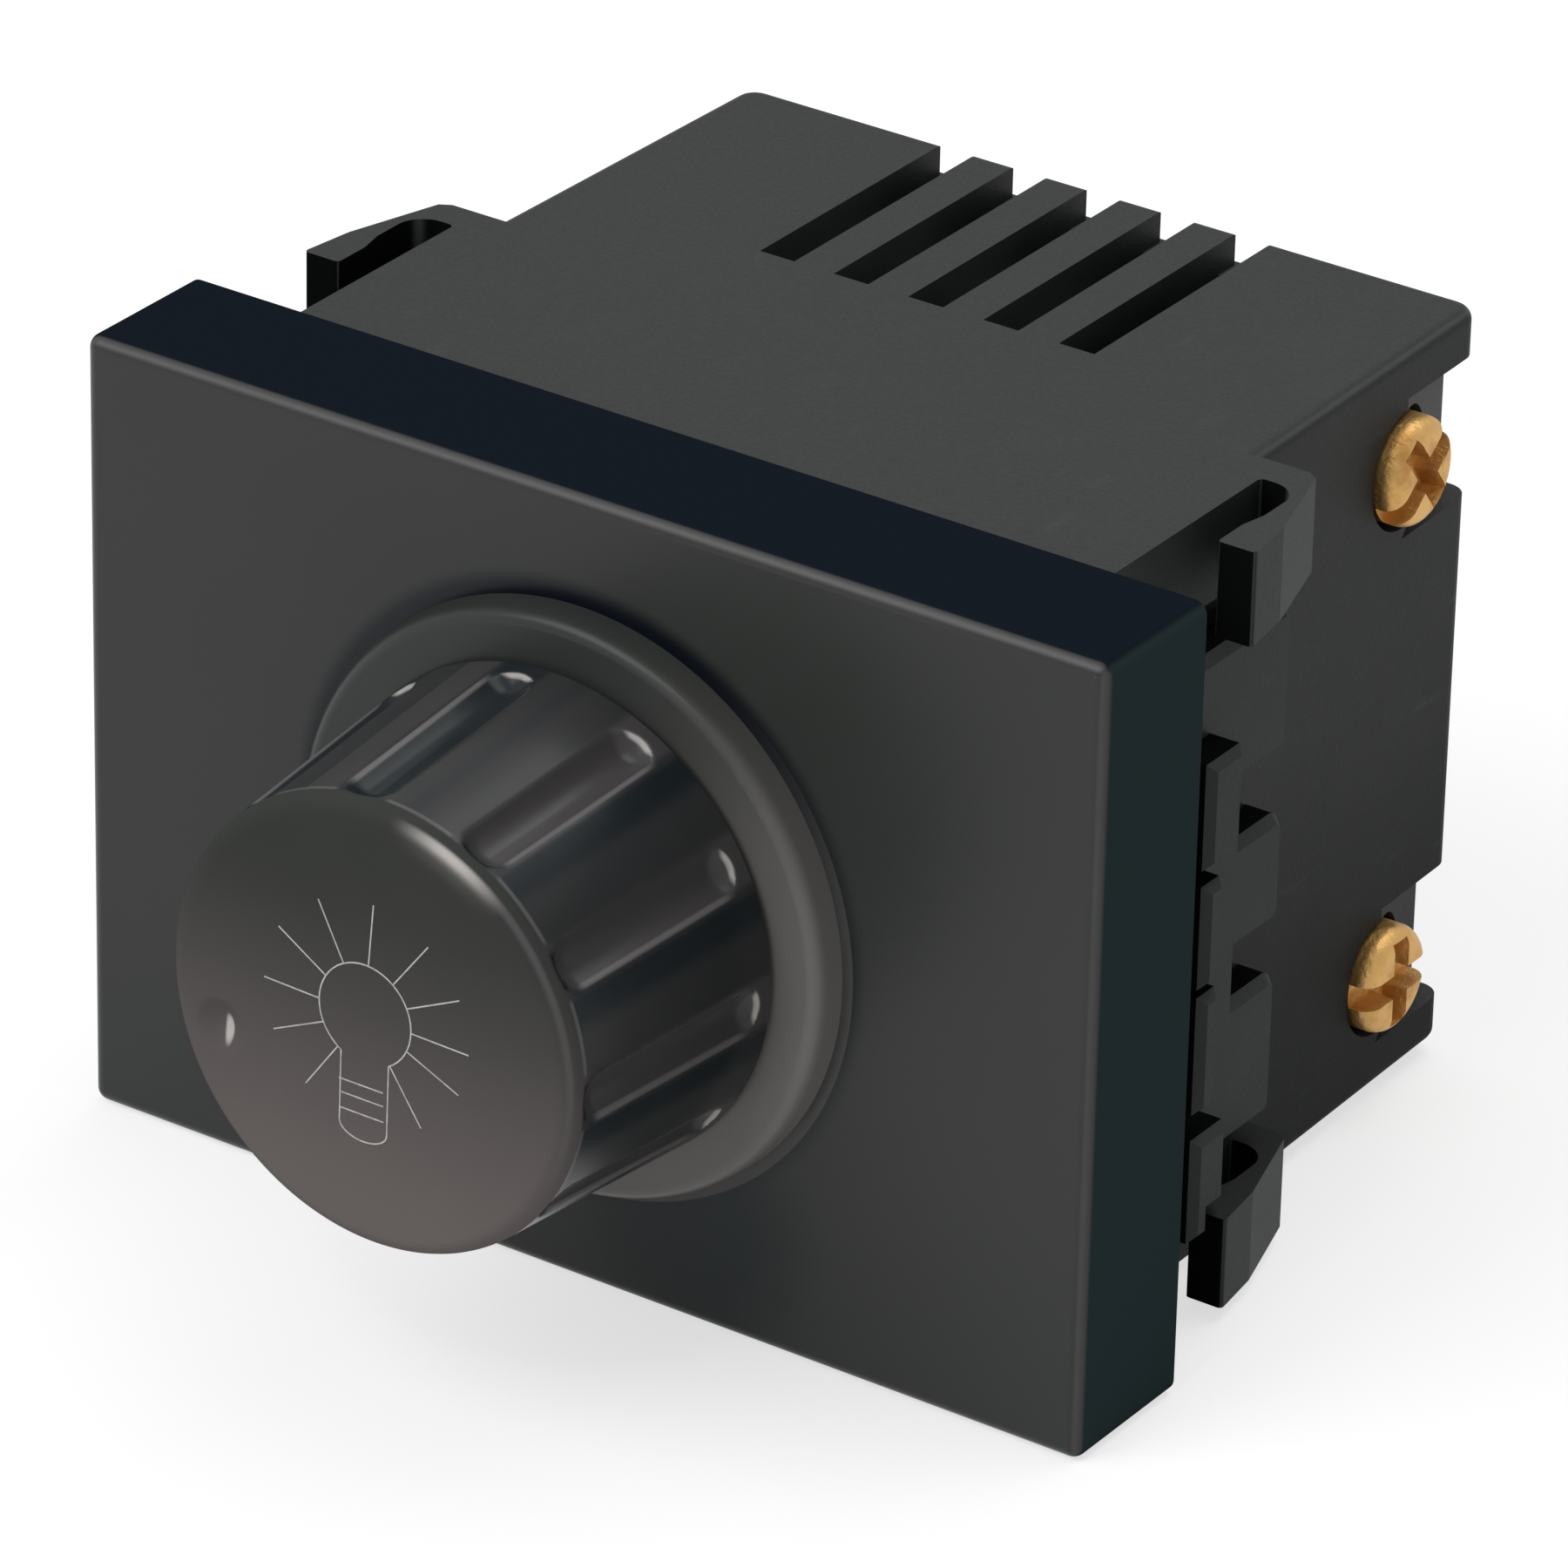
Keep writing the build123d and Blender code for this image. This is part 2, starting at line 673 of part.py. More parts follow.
# moulded shaft with its rotor disc and a rear pivot
flat_rear = hub_rear - 0.3
with BuildPart() as pot_shaft:
    with BuildSketch(Plane.XZ.offset(flat_rear)):
        d_section(shaft_radius, shaft_flat)
    extrude(amount=shaft_front - flat_rear)
    chamfer(pot_shaft.faces().sort_by(Axis.Y)[0].edges().filter_by(GeomType.CIRCLE), length=0.3)
    with BuildSketch(Plane.XZ.offset(-rotor_front)):
        Circle(shaft_radius)
    extrude(amount=flat_rear + rotor_front)
    with BuildSketch(Plane.XZ.offset(-rotor_front - rotor_thickness)):
        Circle(rotor_radius)
    extrude(amount=rotor_thickness)
    with BuildSketch(Plane.XZ.offset(-rotor_front - rotor_thickness)):
        Circle(pivot_radius)
    extrude(amount=-(cover_rear - can_sheet - pivot_gap - rotor_front - rotor_thickness))
pot_shaft.part.label = "pot_shaft"
export_step(pot_shaft.part, "parts/pot_shaft.step")

with BuildPart() as pot_wiper:
    with BuildSketch(Plane.XZ.offset(-rotor_front)):
        Circle(rotor_radius - 0.6)
        Circle(shaft_radius + 0.4, mode=Mode.SUBTRACT)
        with Locations((0, rotor_radius)):
            Rectangle(1.6, rotor_radius, mode=Mode.SUBTRACT)
    extrude(amount=wiper_sheet)
pot_wiper.part.label = "pot_wiper"
export_step(pot_wiper.part, "parts/pot_wiper.step")

# circuit board with the holes for its screws, leads, lugs, tails and pins
lead_holes = [
    (film_x, film_z - film_pitch / 2),
    (film_x, film_z + film_pitch / 2),
    (timing_x, timing_z - timing_pitch / 2),
    (timing_x, timing_z + timing_pitch / 2),
    (diac_x, diac_z - diac_pitch / 2),
    (diac_x, diac_z + diac_pitch / 2),
]
for resistor_x, resistor_z in (resistor_left, resistor_right):
    lead_holes.append((resistor_x - resistor_pitch / 2, resistor_z))
    lead_holes.append((resistor_x + resistor_pitch / 2, resistor_z))
choke_lead_radius = choke_outer + choke_wire / 2 + choke_gap
choke_lead_angles = (171.0, 189.0)
for angle in choke_lead_angles:
    lead_holes.append((
        choke_x + choke_lead_radius * cos(radians(angle)),
        choke_z + choke_lead_radius * sin(radians(angle)),
    ))
pin_rise = fuse_cap_radius + fuse_clip_sheet / 2
with BuildPart() as circuit_board:
    with BuildSketch(Plane.XZ.offset(-board_rear)):
        RectangleRounded(2 * board_half_width, 2 * board_half_height, board_corner)
        with Locations(*pillar_places):
            Circle(board_screw_radius + 0.2, mode=Mode.SUBTRACT)
        with Locations(*lead_holes):
            RegularPolygon(lead_radius + lead_clearance, 8, mode=Mode.SUBTRACT)
        with Locations(*((x, lug_level + lug_sheet / 2) for x in (-lug_pitch, 0, lug_pitch))):
            Rectangle(lug_width + 0.2, lug_sheet + 0.2, mode=Mode.SUBTRACT)
        with Locations((triac_x, leg_level)):
            with GridLocations(triac_leg_pitch, 0, 3, 1):
                Rectangle(triac_leg_width + 0.2, triac_leg_sheet + 0.2, mode=Mode.SUBTRACT)
        with Locations((tail_x, -terminal_z), (tail_x, terminal_z)):
            Rectangle(tail_width + 0.2, tail_thickness + 0.2, mode=Mode.SUBTRACT)
        with Locations((fuse_x, fuse_z)):
            with GridLocations(2 * fuse_clip_spread, 2 * pin_rise, 2, 2):
                Rectangle(fuse_pin_width + 0.2, fuse_clip_sheet + 0.2, mode=Mode.SUBTRACT)
    extrude(amount=board_thickness)
circuit_board.part.label = "circuit_board"
export_step(circuit_board.part, "parts/circuit_board.step")

# four cross-head screws that hold the board on the pillars
with BuildPart() as board_screws:
    with Locations(*((x, board_front, z) for x, z in pillar_places)):
        with Locations(Location((0, -board_screw_head_height / 2, 0), (90, 0, 0))):
            Cylinder(board_screw_head, board_screw_head_height)
        with Locations(Location((0, board_screw_length / 2 - 0.1, 0), (90, 0, 0))):
            Cylinder(board_screw_radius, board_screw_length + 0.2)
    with Locations(*((x, board_front - board_screw_head_height, z) for x, z in pillar_places)):
        Box(2.2, 1.6, 0.5, mode=Mode.SUBTRACT)
        Box(0.5, 1.6, 2.2, mode=Mode.SUBTRACT)
board_screws.part.label = "board_screws"
export_step(board_screws.part, "parts/board_screws.step")

# power switch: a copper tab with three legs
with BuildPart() as triac_leadframe:
    with BuildSketch(Plane.XY.offset(tab_top - triac_tab)):
        with Locations((triac_x, (triac_front + 0.6 + tab_end) / 2)):
            Rectangle(triac_width, tab_end - triac_front - 0.6)
        chamfer(vertices().group_by(Axis.Y)[-1], length=1.2)
        with Locations((triac_x, tab_hole_y)):
            Circle(rivet_radius + 0.1, mode=Mode.SUBTRACT)
    extrude(amount=triac_tab)
    with BuildSketch(Plane.XZ.offset(-lead_end)):
        with Locations((triac_x, leg_level)):
            with GridLocations(triac_leg_pitch, 0, 3, 1):
                Rectangle(triac_leg_width, triac_leg_sheet)
    extrude(amount=-(triac_front + 2.0 - lead_end))
    with Locations((triac_x, triac_front + 1.4, (leg_level + tab_top - triac_tab) / 2)):
        Box(triac_leg_width, 1.2, tab_top - triac_tab - leg_level + 0.4)
triac_leadframe.part.label = "triac_leadframe"
export_step(triac_leadframe.part, "parts/triac_leadframe.step")

with BuildPart() as triac_body:
    with BuildSketch(Plane.XY.offset(tab_top - triac_thickness)):
        with Locations((triac_x, triac_front + triac_body_length / 2)):
            Rectangle(triac_width + 0.2, triac_body_length)
    extrude(amount=triac_thickness - 0.05)
    chamfer(triac_body.faces().sort_by(Axis.Z)[0].edges(), length=0.5)
    add(triac_leadframe.part, mode=Mode.SUBTRACT)
triac_body.part.label = "triac_body"
export_step(triac_body.part, "parts/triac_body.step")

# heat sink: a bent plate above the tab
with BuildPart() as heat_sink:
    with BuildSketch(Plane.YZ.offset(sink_x - sink_width / 2)):
        with BuildLine():
            Polyline(
                (sink_front, tab_top),
                (sink_front, sink_top),
                (sink_rear, sink_top),
                (sink_rear, tab_top - sink_flange),
                (sink_rear - sink_thickness, tab_top - sink_flange),
                (sink_rear - sink_thickness, tab_top),
                close=True,
            )
        make_face()
        fillet(vertices().sort_by(Axis((0, 0, 0), (0, 1, 1)))[-1], radius=1.0)
    extrude(amount=sink_width)
    with BuildSketch(Plane.XY.offset(tab_top)):
        with Locations((triac_x, tab_hole_y)):
            Circle(rivet_radius + 0.1)
    extrude(amount=sink_thickness, mode=Mode.SUBTRACT)
heat_sink.part.label = "heat_sink"
export_step(heat_sink.part, "parts/heat_sink.step")

with BuildPart() as triac_rivet:
    with BuildSketch(Plane.XZ.offset(-tab_hole_y)):
        with Locations((triac_x, (sink_top + tab_top - triac_tab) / 2)):
            with GridLocations(0, sink_thickness + triac_tab + rivet_head, 1, 2):
                Rectangle(2 * rivet_head_radius, rivet_head)
            Rectangle(2 * rivet_radius, sink_thickness + triac_tab)
        with Locations((triac_x - rivet_head_radius, 0)):
            Rectangle(2 * rivet_head_radius, 60, mode=Mode.SUBTRACT)
    revolve(axis=Axis((triac_x, tab_hole_y, 0), (0, 0, 1)))
triac_rivet.part.label = "triac_rivet"
export_step(triac_rivet.part, "parts/triac_rivet.step")

# interference choke: a ring core and its winding
choke_front = board_rear + choke_wire + choke_stand
with BuildPart() as choke_core:
    with BuildSketch(Plane.XZ.offset(-choke_front)):
        with Locations((choke_x, choke_z)):
            Circle(choke_outer)
            Circle(choke_inner, mode=Mode.SUBTRACT)
    extrude(amount=-choke_height)
    core_rims = choke_core.edges().filter_by(GeomType.CIRCLE)
    chamfer(core_rims.filter_by(lambda e: e.radius > choke_inner + 0.1), length=0.4)
choke_core.part.label = "choke_core"
export_step(choke_core.part, "parts/choke_core.step")


def choke_point(radius, depth, angle):
    """Point on the winding at a radius, a depth behind the plate and an angle round the core."""
    return (choke_x + radius * cos(radians(angle)), depth, choke_z + radius * sin(radians(angle)))


wire_in = choke_inner - choke_wire / 2 - choke_gap
wire_out = choke_outer + choke_wire / 2 + choke_gap
wire_front = choke_front - choke_wire / 2 - choke_gap
wire_back = choke_front + choke_height + choke_wire / 2 + choke_gap
turn_step = (360 - (choke_lead_angles[1] - choke_lead_angles[0])) / choke_turns
winding_points = [choke_point(wire_out, lead_end, choke_lead_angles[1])]
for turn in range(choke_turns):
    start = choke_lead_angles[1] + turn_step * turn
    winding_points.append(choke_point(wire_out, wire_back, start))
    winding_points.append(choke_point(wire_in, wire_back, start + turn_step / 2))
    winding_points.append(choke_point(wire_in, wire_front, start + turn_step / 2))
    winding_points.append(choke_point(wire_out, wire_front, start + turn_step))
winding_points.append(choke_point(wire_out, lead_end, choke_lead_angles[0]))
with BuildPart() as choke_winding:
    with BuildLine():
        Polyline(*winding_points)
    with BuildSketch(Plane(origin=winding_points[0], z_dir=(0, 1, 0))):
        RegularPolygon(choke_wire / 2, 6)
    sweep(transition=Transition.RIGHT)
choke_winding.part.label = "choke_winding"
export_step(choke_winding.part, "parts/choke_winding.step")

# moulded box capacitors that stand on the board
with BuildPart() as filter_capacitor:
    with BuildSketch(Plane.XZ.offset(-board_rear)):
        with Locations((film_x, film_z)):
            Rectangle(film_width, film_length)
    extrude(amount=-film_depth)
    chamfer(filter_capacitor.faces().sort_by(Axis.Y)[-1].edges(), length=0.4)
    with BuildSketch(Plane.XZ.offset(-lead_end)):
        with Locations((film_x, film_z)):
            with GridLocations(0, film_pitch, 1, 2):
                RegularPolygon(lead_radius, 8)
    extrude(amount=-(board_rear - lead_end + 0.4))
filter_capacitor.part.label = "filter_capacitor"
export_step(filter_capacitor.part, "parts/filter_capacitor.step")

with BuildPart() as timing_capacitor:
    with BuildSketch(Plane.XZ.offset(-board_rear)):
        with Locations((timing_x, timing_z)):
            Rectangle(timing_width, timing_length)
    extrude(amount=-timing_depth)
    chamfer(timing_capacitor.faces().sort_by(Axis.Y)[-1].edges(), length=0.4)
    with BuildSketch(Plane.XZ.offset(-lead_end)):
        with Locations((timing_x, timing_z)):
            with GridLocations(0, timing_pitch, 1, 2):
                RegularPolygon(lead_radius, 8)
    extrude(amount=-(board_rear - lead_end + 0.4))
timing_capacitor.part.label = "timing_capacitor"
export_step(timing_capacitor.part, "parts/timing_capacitor.step")

# axial parts: a barrel with two bent leads
with BuildPart() as resistor:
    with BuildLine():
        Polyline(
            (-resistor_pitch / 2, lead_end, 0),
            (-resistor_pitch / 2, board_rear + resistor_radius + 0.2, 0),
            (resistor_pitch / 2, board_rear + resistor_radius + 0.2, 0),
            (resistor_pitch / 2, lead_end, 0),
        )
    with BuildSketch(Plane.XZ.offset(-lead_end)):
        with Locations((-resistor_pitch / 2, 0)):
            RegularPolygon(lead_radius, 8)
    sweep(transition=Transition.RIGHT)
    with BuildSketch(Plane.XY):
        half = resistor_length / 2
        base = board_rear + resistor_radius + 0.2
        bead = base + resistor_radius
        Polygon(
            (-half, base),
            (-half, bead - 0.4),
            (-half + 0.4, bead),
            (half - 0.4, bead),
            (half, bead - 0.4),
            (half, base),
            align=None,
        )
    revolve(axis=Axis((0, board_rear + resistor_radius + 0.2, 0), (1, 0, 0)))

with BuildPart() as timing_resistor:
    with Locations((resistor_right[0], 0, resistor_right[1])):
        add(resistor.part)
timing_resistor.part.label = "timing_resistor"
export_step(timing_resistor.part, "parts/timing_resistor.step")

with BuildPart() as snubber_resistor:
    with Locations((resistor_left[0], 0, resistor_left[1])):
        add(resistor.part)
snubber_resistor.part.label = "snubber_resistor"
export_step(snubber_resistor.part, "parts/snubber_resistor.step")

with BuildPart() as diac:
    with BuildLine():
        Polyline(
            (diac_x, lead_end, diac_z - diac_pitch / 2),
            (diac_x, board_rear + diac_radius + 0.2, diac_z - diac_pitch / 2),
            (diac_x, board_rear + diac_radius + 0.2, diac_z + diac_pitch / 2),
            (diac_x, lead_end, diac_z + diac_pitch / 2),
        )
    with BuildSketch(Plane.XZ.offset(-lead_end)):
        with Locations((diac_x, diac_z - diac_pitch / 2)):
            RegularPolygon(lead_radius, 8)
    sweep(transition=Transition.RIGHT)
    with Locations((diac_x, board_rear + diac_radius + 0.2, diac_z)):
        Cylinder(diac_radius, diac_length)
    diac_rims = diac.edges().filter_by(GeomType.CIRCLE)
    chamfer(diac_rims.filter_by(lambda e: abs(e.radius - diac_radius) < 0.01), length=0.3)
diac.part.label = "diac"
export_step(diac.part, "parts/diac.step")

# fuse: a glass tube, two caps on one fine wire, and the two clips
fuse_end = fuse_x - fuse_length / 2
with BuildPart() as fuse_tube:
    with BuildSketch(Plane.YZ.offset(fuse_end)):
        with Locations((fuse_y, fuse_z)):
            Circle(fuse_radius)
            Circle(fuse_radius - fuse_glass, mode=Mode.SUBTRACT)
    extrude(amount=fuse_length)
fuse_tube.part.label = "fuse_tube"
export_step(fuse_tube.part, "parts/fuse_tube.step")

with BuildPart() as fuse_caps:
    for cap_start in (fuse_end - fuse_cap_sheet, fuse_x + fuse_length / 2 + fuse_cap_sheet - fuse_cap_length):
        with BuildSketch(Plane.YZ.offset(cap_start)):
            with Locations((fuse_y, fuse_z)):
                Circle(fuse_cap_radius)
        extrude(amount=fuse_cap_length)
    with BuildSketch(Plane.YZ.offset(fuse_end)):
        with Locations((fuse_y, fuse_z)):
            Circle(fuse_radius)
    extrude(amount=fuse_length, mode=Mode.SUBTRACT)
    with BuildSketch(Plane.YZ.offset(fuse_end - 0.1)):
        with Locations((fuse_y, fuse_z)):
            Circle(fuse_wire)
    extrude(amount=fuse_length + 0.2)
fuse_caps.part.label = "fuse_caps"
export_step(fuse_caps.part, "parts/fuse_caps.step")

with BuildPart() as fuse_clips:
    for clip_side in (-1, 1):
        clip_at = fuse_x + clip_side * fuse_clip_spread
        with BuildSketch(Plane.YZ.offset(clip_at - fuse_clip_width / 2)):
            with Locations((fuse_y, fuse_z)):
                Rectangle(2 * fuse_clip_radius, 2 * fuse_clip_radius)
                Circle(fuse_cap_radius, mode=Mode.SUBTRACT)
                with Locations((fuse_clip_radius - 0.6, 0)):
                    Rectangle(2 * fuse_clip_radius, 2 * fuse_cap_radius - 0.5, mode=Mode.SUBTRACT)
        extrude(amount=fuse_clip_width)
        with BuildSketch(Plane.XZ.offset(-lead_end)):
            with Locations((clip_at, fuse_z)):
                with GridLocations(0, 2 * pin_rise, 1, 2):
                    Rectangle(fuse_pin_width, fuse_clip_sheet)
        extrude(amount=-(fuse_y - fuse_cap_radius - lead_end))
fuse_clips.part.label = "fuse_clips"
export_step(fuse_clips.part, "parts/fuse_clips.step")

# brass terminals with a wire bore, a tapped hole for the screw and a tail into the board
for terminal_side, terminal_name in ((1, "terminal_upper"), (-1, "terminal_lower")):
    level = terminal_side * terminal_z
    with BuildPart() as terminal:
        with BuildSketch(Plane.XZ.offset(-terminal_front)):
            with Locations((terminal_outer - terminal_width / 2, level)):
                Rectangle(terminal_width, terminal_height)
        extrude(amount=-terminal_length)
        chamfer(terminal.edges().filter_by(Axis.Y), length=0.4)
        with BuildSketch(Plane.XZ.offset(-lead_end)):
            with Locations((tail_x, level)):
                Rectangle(tail_width, tail_thickness)
        extrude(amount=-(terminal_front + 0.2 - lead_end))
        with BuildSketch(Plane.XZ.offset(-terminal_back)):
            with Locations((wire_x, level)):
                Circle(wire_radius)
        extrude(amount=wire_bore_depth, mode=Mode.SUBTRACT)
        with BuildSketch(Plane.YZ.offset(wire_x)):
            with Locations((terminal_y, level)):
                Circle(screw_radius + screw_clearance)
        extrude(amount=terminal_outer - wire_x, mode=Mode.SUBTRACT)
    terminal.part.label = terminal_name
    export_step(terminal.part, f"parts/{terminal_name}.step")

# combination-slot terminal screws
for terminal_side, screw_turn, screw_name in (
    (1, screw_turn_upper, "terminal_screw_upper"),
    (-1, screw_turn_lower, "terminal_screw_lower"),
):
    level = terminal_side * terminal_z
    with BuildPart() as terminal_screw:
        with BuildSketch(Plane.YZ.offset(screw_head_seat)):
            with Locations((terminal_y, level)):
                Circle(screw_head_radius)
        extrude(amount=screw_head_height)
        fillet(terminal_screw.faces().sort_by(Axis.X)[-1].edges(), radius=screw_dome)
        with BuildSketch(Plane.YZ.offset(screw_tip)):
            with Locations((terminal_y, level)):
                Circle(screw_radius)
        extrude(amount=screw_head_seat - screw_tip + 0.1)
        chamfer(terminal_screw.faces().sort_by(Axis.X)[0].edges(), length=0.3)
        with BuildSketch(Plane.YZ.offset(screw_head_face)):
            with Locations(Location((terminal_y, level, 0), screw_turn)):
                Rectangle(3 * screw_head_radius, screw_slot)
        extrude(amount=-screw_slot_depth, mode=Mode.SUBTRACT)
        with BuildSketch(Plane.YZ.offset(screw_head_face)):
            with Locations(Location((terminal_y, level, 0), screw_turn)):
                Rectangle(screw_slot, screw_cross)
        extrude(amount=-screw_slot_depth, taper=8, mode=Mode.SUBTRACT)
    terminal_screw.part.label = screw_name
    export_step(terminal_screw.part, f"parts/{screw_name}.step")
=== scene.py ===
"""Looks of a rotary dimmer module: its finishes, the knob's soft grooves, the bulb sign and the studio."""

import logging
import math
from dataclasses import dataclass, field
from enum import Enum

import bmesh
import bpy
from mathutils import Matrix, Vector

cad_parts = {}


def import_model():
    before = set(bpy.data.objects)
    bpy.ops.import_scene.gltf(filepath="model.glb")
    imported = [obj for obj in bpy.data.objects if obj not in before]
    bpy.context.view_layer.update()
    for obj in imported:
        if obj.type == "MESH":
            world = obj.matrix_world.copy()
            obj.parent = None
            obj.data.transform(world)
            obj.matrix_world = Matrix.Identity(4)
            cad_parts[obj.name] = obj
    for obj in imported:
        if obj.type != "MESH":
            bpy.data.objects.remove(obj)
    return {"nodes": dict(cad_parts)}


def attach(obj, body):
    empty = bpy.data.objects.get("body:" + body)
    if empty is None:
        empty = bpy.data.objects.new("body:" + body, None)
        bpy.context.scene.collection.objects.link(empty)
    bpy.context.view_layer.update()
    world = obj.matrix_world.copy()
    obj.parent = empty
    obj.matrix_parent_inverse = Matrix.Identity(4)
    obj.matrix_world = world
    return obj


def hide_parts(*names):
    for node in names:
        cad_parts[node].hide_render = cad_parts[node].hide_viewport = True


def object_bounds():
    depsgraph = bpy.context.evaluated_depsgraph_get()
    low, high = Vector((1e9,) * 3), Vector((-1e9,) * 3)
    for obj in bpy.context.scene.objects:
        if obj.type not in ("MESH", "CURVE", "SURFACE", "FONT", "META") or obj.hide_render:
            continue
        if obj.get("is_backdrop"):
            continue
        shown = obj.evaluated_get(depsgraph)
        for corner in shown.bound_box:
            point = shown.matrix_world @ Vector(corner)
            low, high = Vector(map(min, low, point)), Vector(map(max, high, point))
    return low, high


LOG = logging.getLogger("dimmer")
MM = 0.001
Colour = tuple[float, float, float]
Point = tuple[float, float, float]
FlatPoint = tuple[float, float]
Span = tuple[float, float]  # where a mask is 0 and where it is 1
Band = tuple[float, float, float]  # a band's middle, how far from it the band fades out, and its half core
Pieces = dict[str, bpy.types.Object]
Material = bpy.types.Material
Socket = bpy.types.NodeSocket


def linear(red: int, green: int, blue: int) -> Colour:
    """Turn a screen colour into the linear colour that shaders use.

    Args:
        red: Red from 0 to 255.
        green: Green from 0 to 255.
        blue: Blue from 0 to 255.

    Returns:
        The linear red, green and blue.
    """
    parts = []
    for part in (red, green, blue):
        share = part / 255
        parts.append(share / 12.92 if share <= 0.04045 else ((share + 0.055) / 1.055) ** 2.4)
    return (parts[0], parts[1], parts[2])


class Value:
    """A number that changes over a surface. Arithmetic on it adds Math nodes."""

    def __init__(self, nodes: "Nodes", socket: Socket) -> None:
        """Keep the nodes and the output socket that gives the number."""
        self.nodes = nodes
        self.socket = socket

    def math(self, operation: str, *others: "Value | float", clamp: bool = False) -> "Value":
        """Add one Math node.

        Args:
            operation: The Math node's operation.
            others: The other operands, in order.
            clamp: Whether the result stays between 0 and 1.

        Returns:
            The node's result.
        """
        inputs = dict(enumerate((self, *others)))
        node = self.nodes.node("Math", {"operation": operation, "use_clamp": clamp}, inputs)
        return Value(self.nodes, node.outputs[0])

    def __add__(self, other: "Value | float") -> "Value":
        """Sum of two values."""
        return self.math("ADD", other)

    __radd__ = __add__

    def __sub__(self, other: "Value | float") -> "Value":
        """Difference of two values."""
        return self.math("SUBTRACT", other)

    def __rsub__(self, other: float) -> "Value":
        """A number less this value."""
        return (self * -1.0).math("ADD", other)

    def __mul__(self, other: "Value | float") -> "Value":
        """Product of two values."""
        return self.math("MULTIPLY", other)

    __rmul__ = __mul__

    def __truediv__(self, other: "Value | float") -> "Value":
        """Quotient of two values."""
        return self.math("DIVIDE", other)

    def __pow__(self, other: float) -> "Value":
        """This value to a power."""
        return self.math("POWER", other)

    def __abs__(self) -> "Value":
        """Size of this value without its sign."""
        return self.math("ABSOLUTE")

    def rise(self, start: float, end: float) -> "Value":
        """Smooth step from 0 at start to 1 at end.

        Args:
            start: Where the step leaves 0.
            end: Where the step reaches 1.

        Returns:
            The step, between 0 and 1.
        """
        settings = {"interpolation_type": "SMOOTHSTEP", "clamp": True}
        inputs = {"Value": self, "From Min": start, "From Max": end}
        return Value(self.nodes, self.nodes.node("MapRange", settings, inputs).outputs[0])

    def near(self, middle: float, reach: float, core: float) -> "Value":
        """Soft band round a middle value.

        Args:
            middle: The band's middle.
            reach: How far from the middle the band fades to 0.
            core: How far from the middle it is still 1.

        Returns:
            The band, between 0 and 1.
        """
        return abs(self - middle).rise(reach, core)


class Nodes:
    """A node tree, with one way to add nodes to it."""

    def __init__(self, node_tree: bpy.types.NodeTree) -> None:
        """Take a node tree and empty it."""
        self.node_tree = node_tree
        node_tree.nodes.clear()

    def node(
        self,
        kind: str,
        settings: dict[str, object] | None = None,
        inputs: dict[int | str, object] | None = None,
    ) -> bpy.types.Node:
        """Add one node.

        Args:
            kind: The node's type, without its ShaderNode prefix.
            settings: The node's own settings.
            inputs: What goes to each socket: a Value, an output socket, or a constant.

        Returns:
            The new node.
        """
        node = self.node_tree.nodes.new("ShaderNode" + kind)
        for key, setting in (settings or {}).items():
            setattr(node, key, setting)
        for key, given in (inputs or {}).items():
            self._plug(node.inputs[key], given)
        return node

    def _plug(self, socket: Socket, given: object) -> None:
        """Link a socket, or set its constant.

        Args:
            socket: The input socket.
            given: A Value, an output socket, or a constant.
        """
        if isinstance(given, Value):
            given = given.socket
        if isinstance(given, Socket):
            self.node_tree.links.new(given, socket)
        elif isinstance(given, tuple) and socket.type == "RGBA":
            socket.default_value = (*given, 1.0)
        else:
            socket.default_value = given

    def seen(self) -> Value:
        """Tell the rays that show the background from those that light the object.

        Returns:
            1 for rays that come straight, mirrored or through glass, and 0 for others.
        """
        path = self.node("LightPath")
        kinds = ("Is Camera Ray", "Is Glossy Ray", "Is Transmission Ray")
        straight, mirrored, through = (Value(self, path.outputs[kind]) for kind in kinds)
        return (straight + mirrored).math("ADD", through, clamp=True)


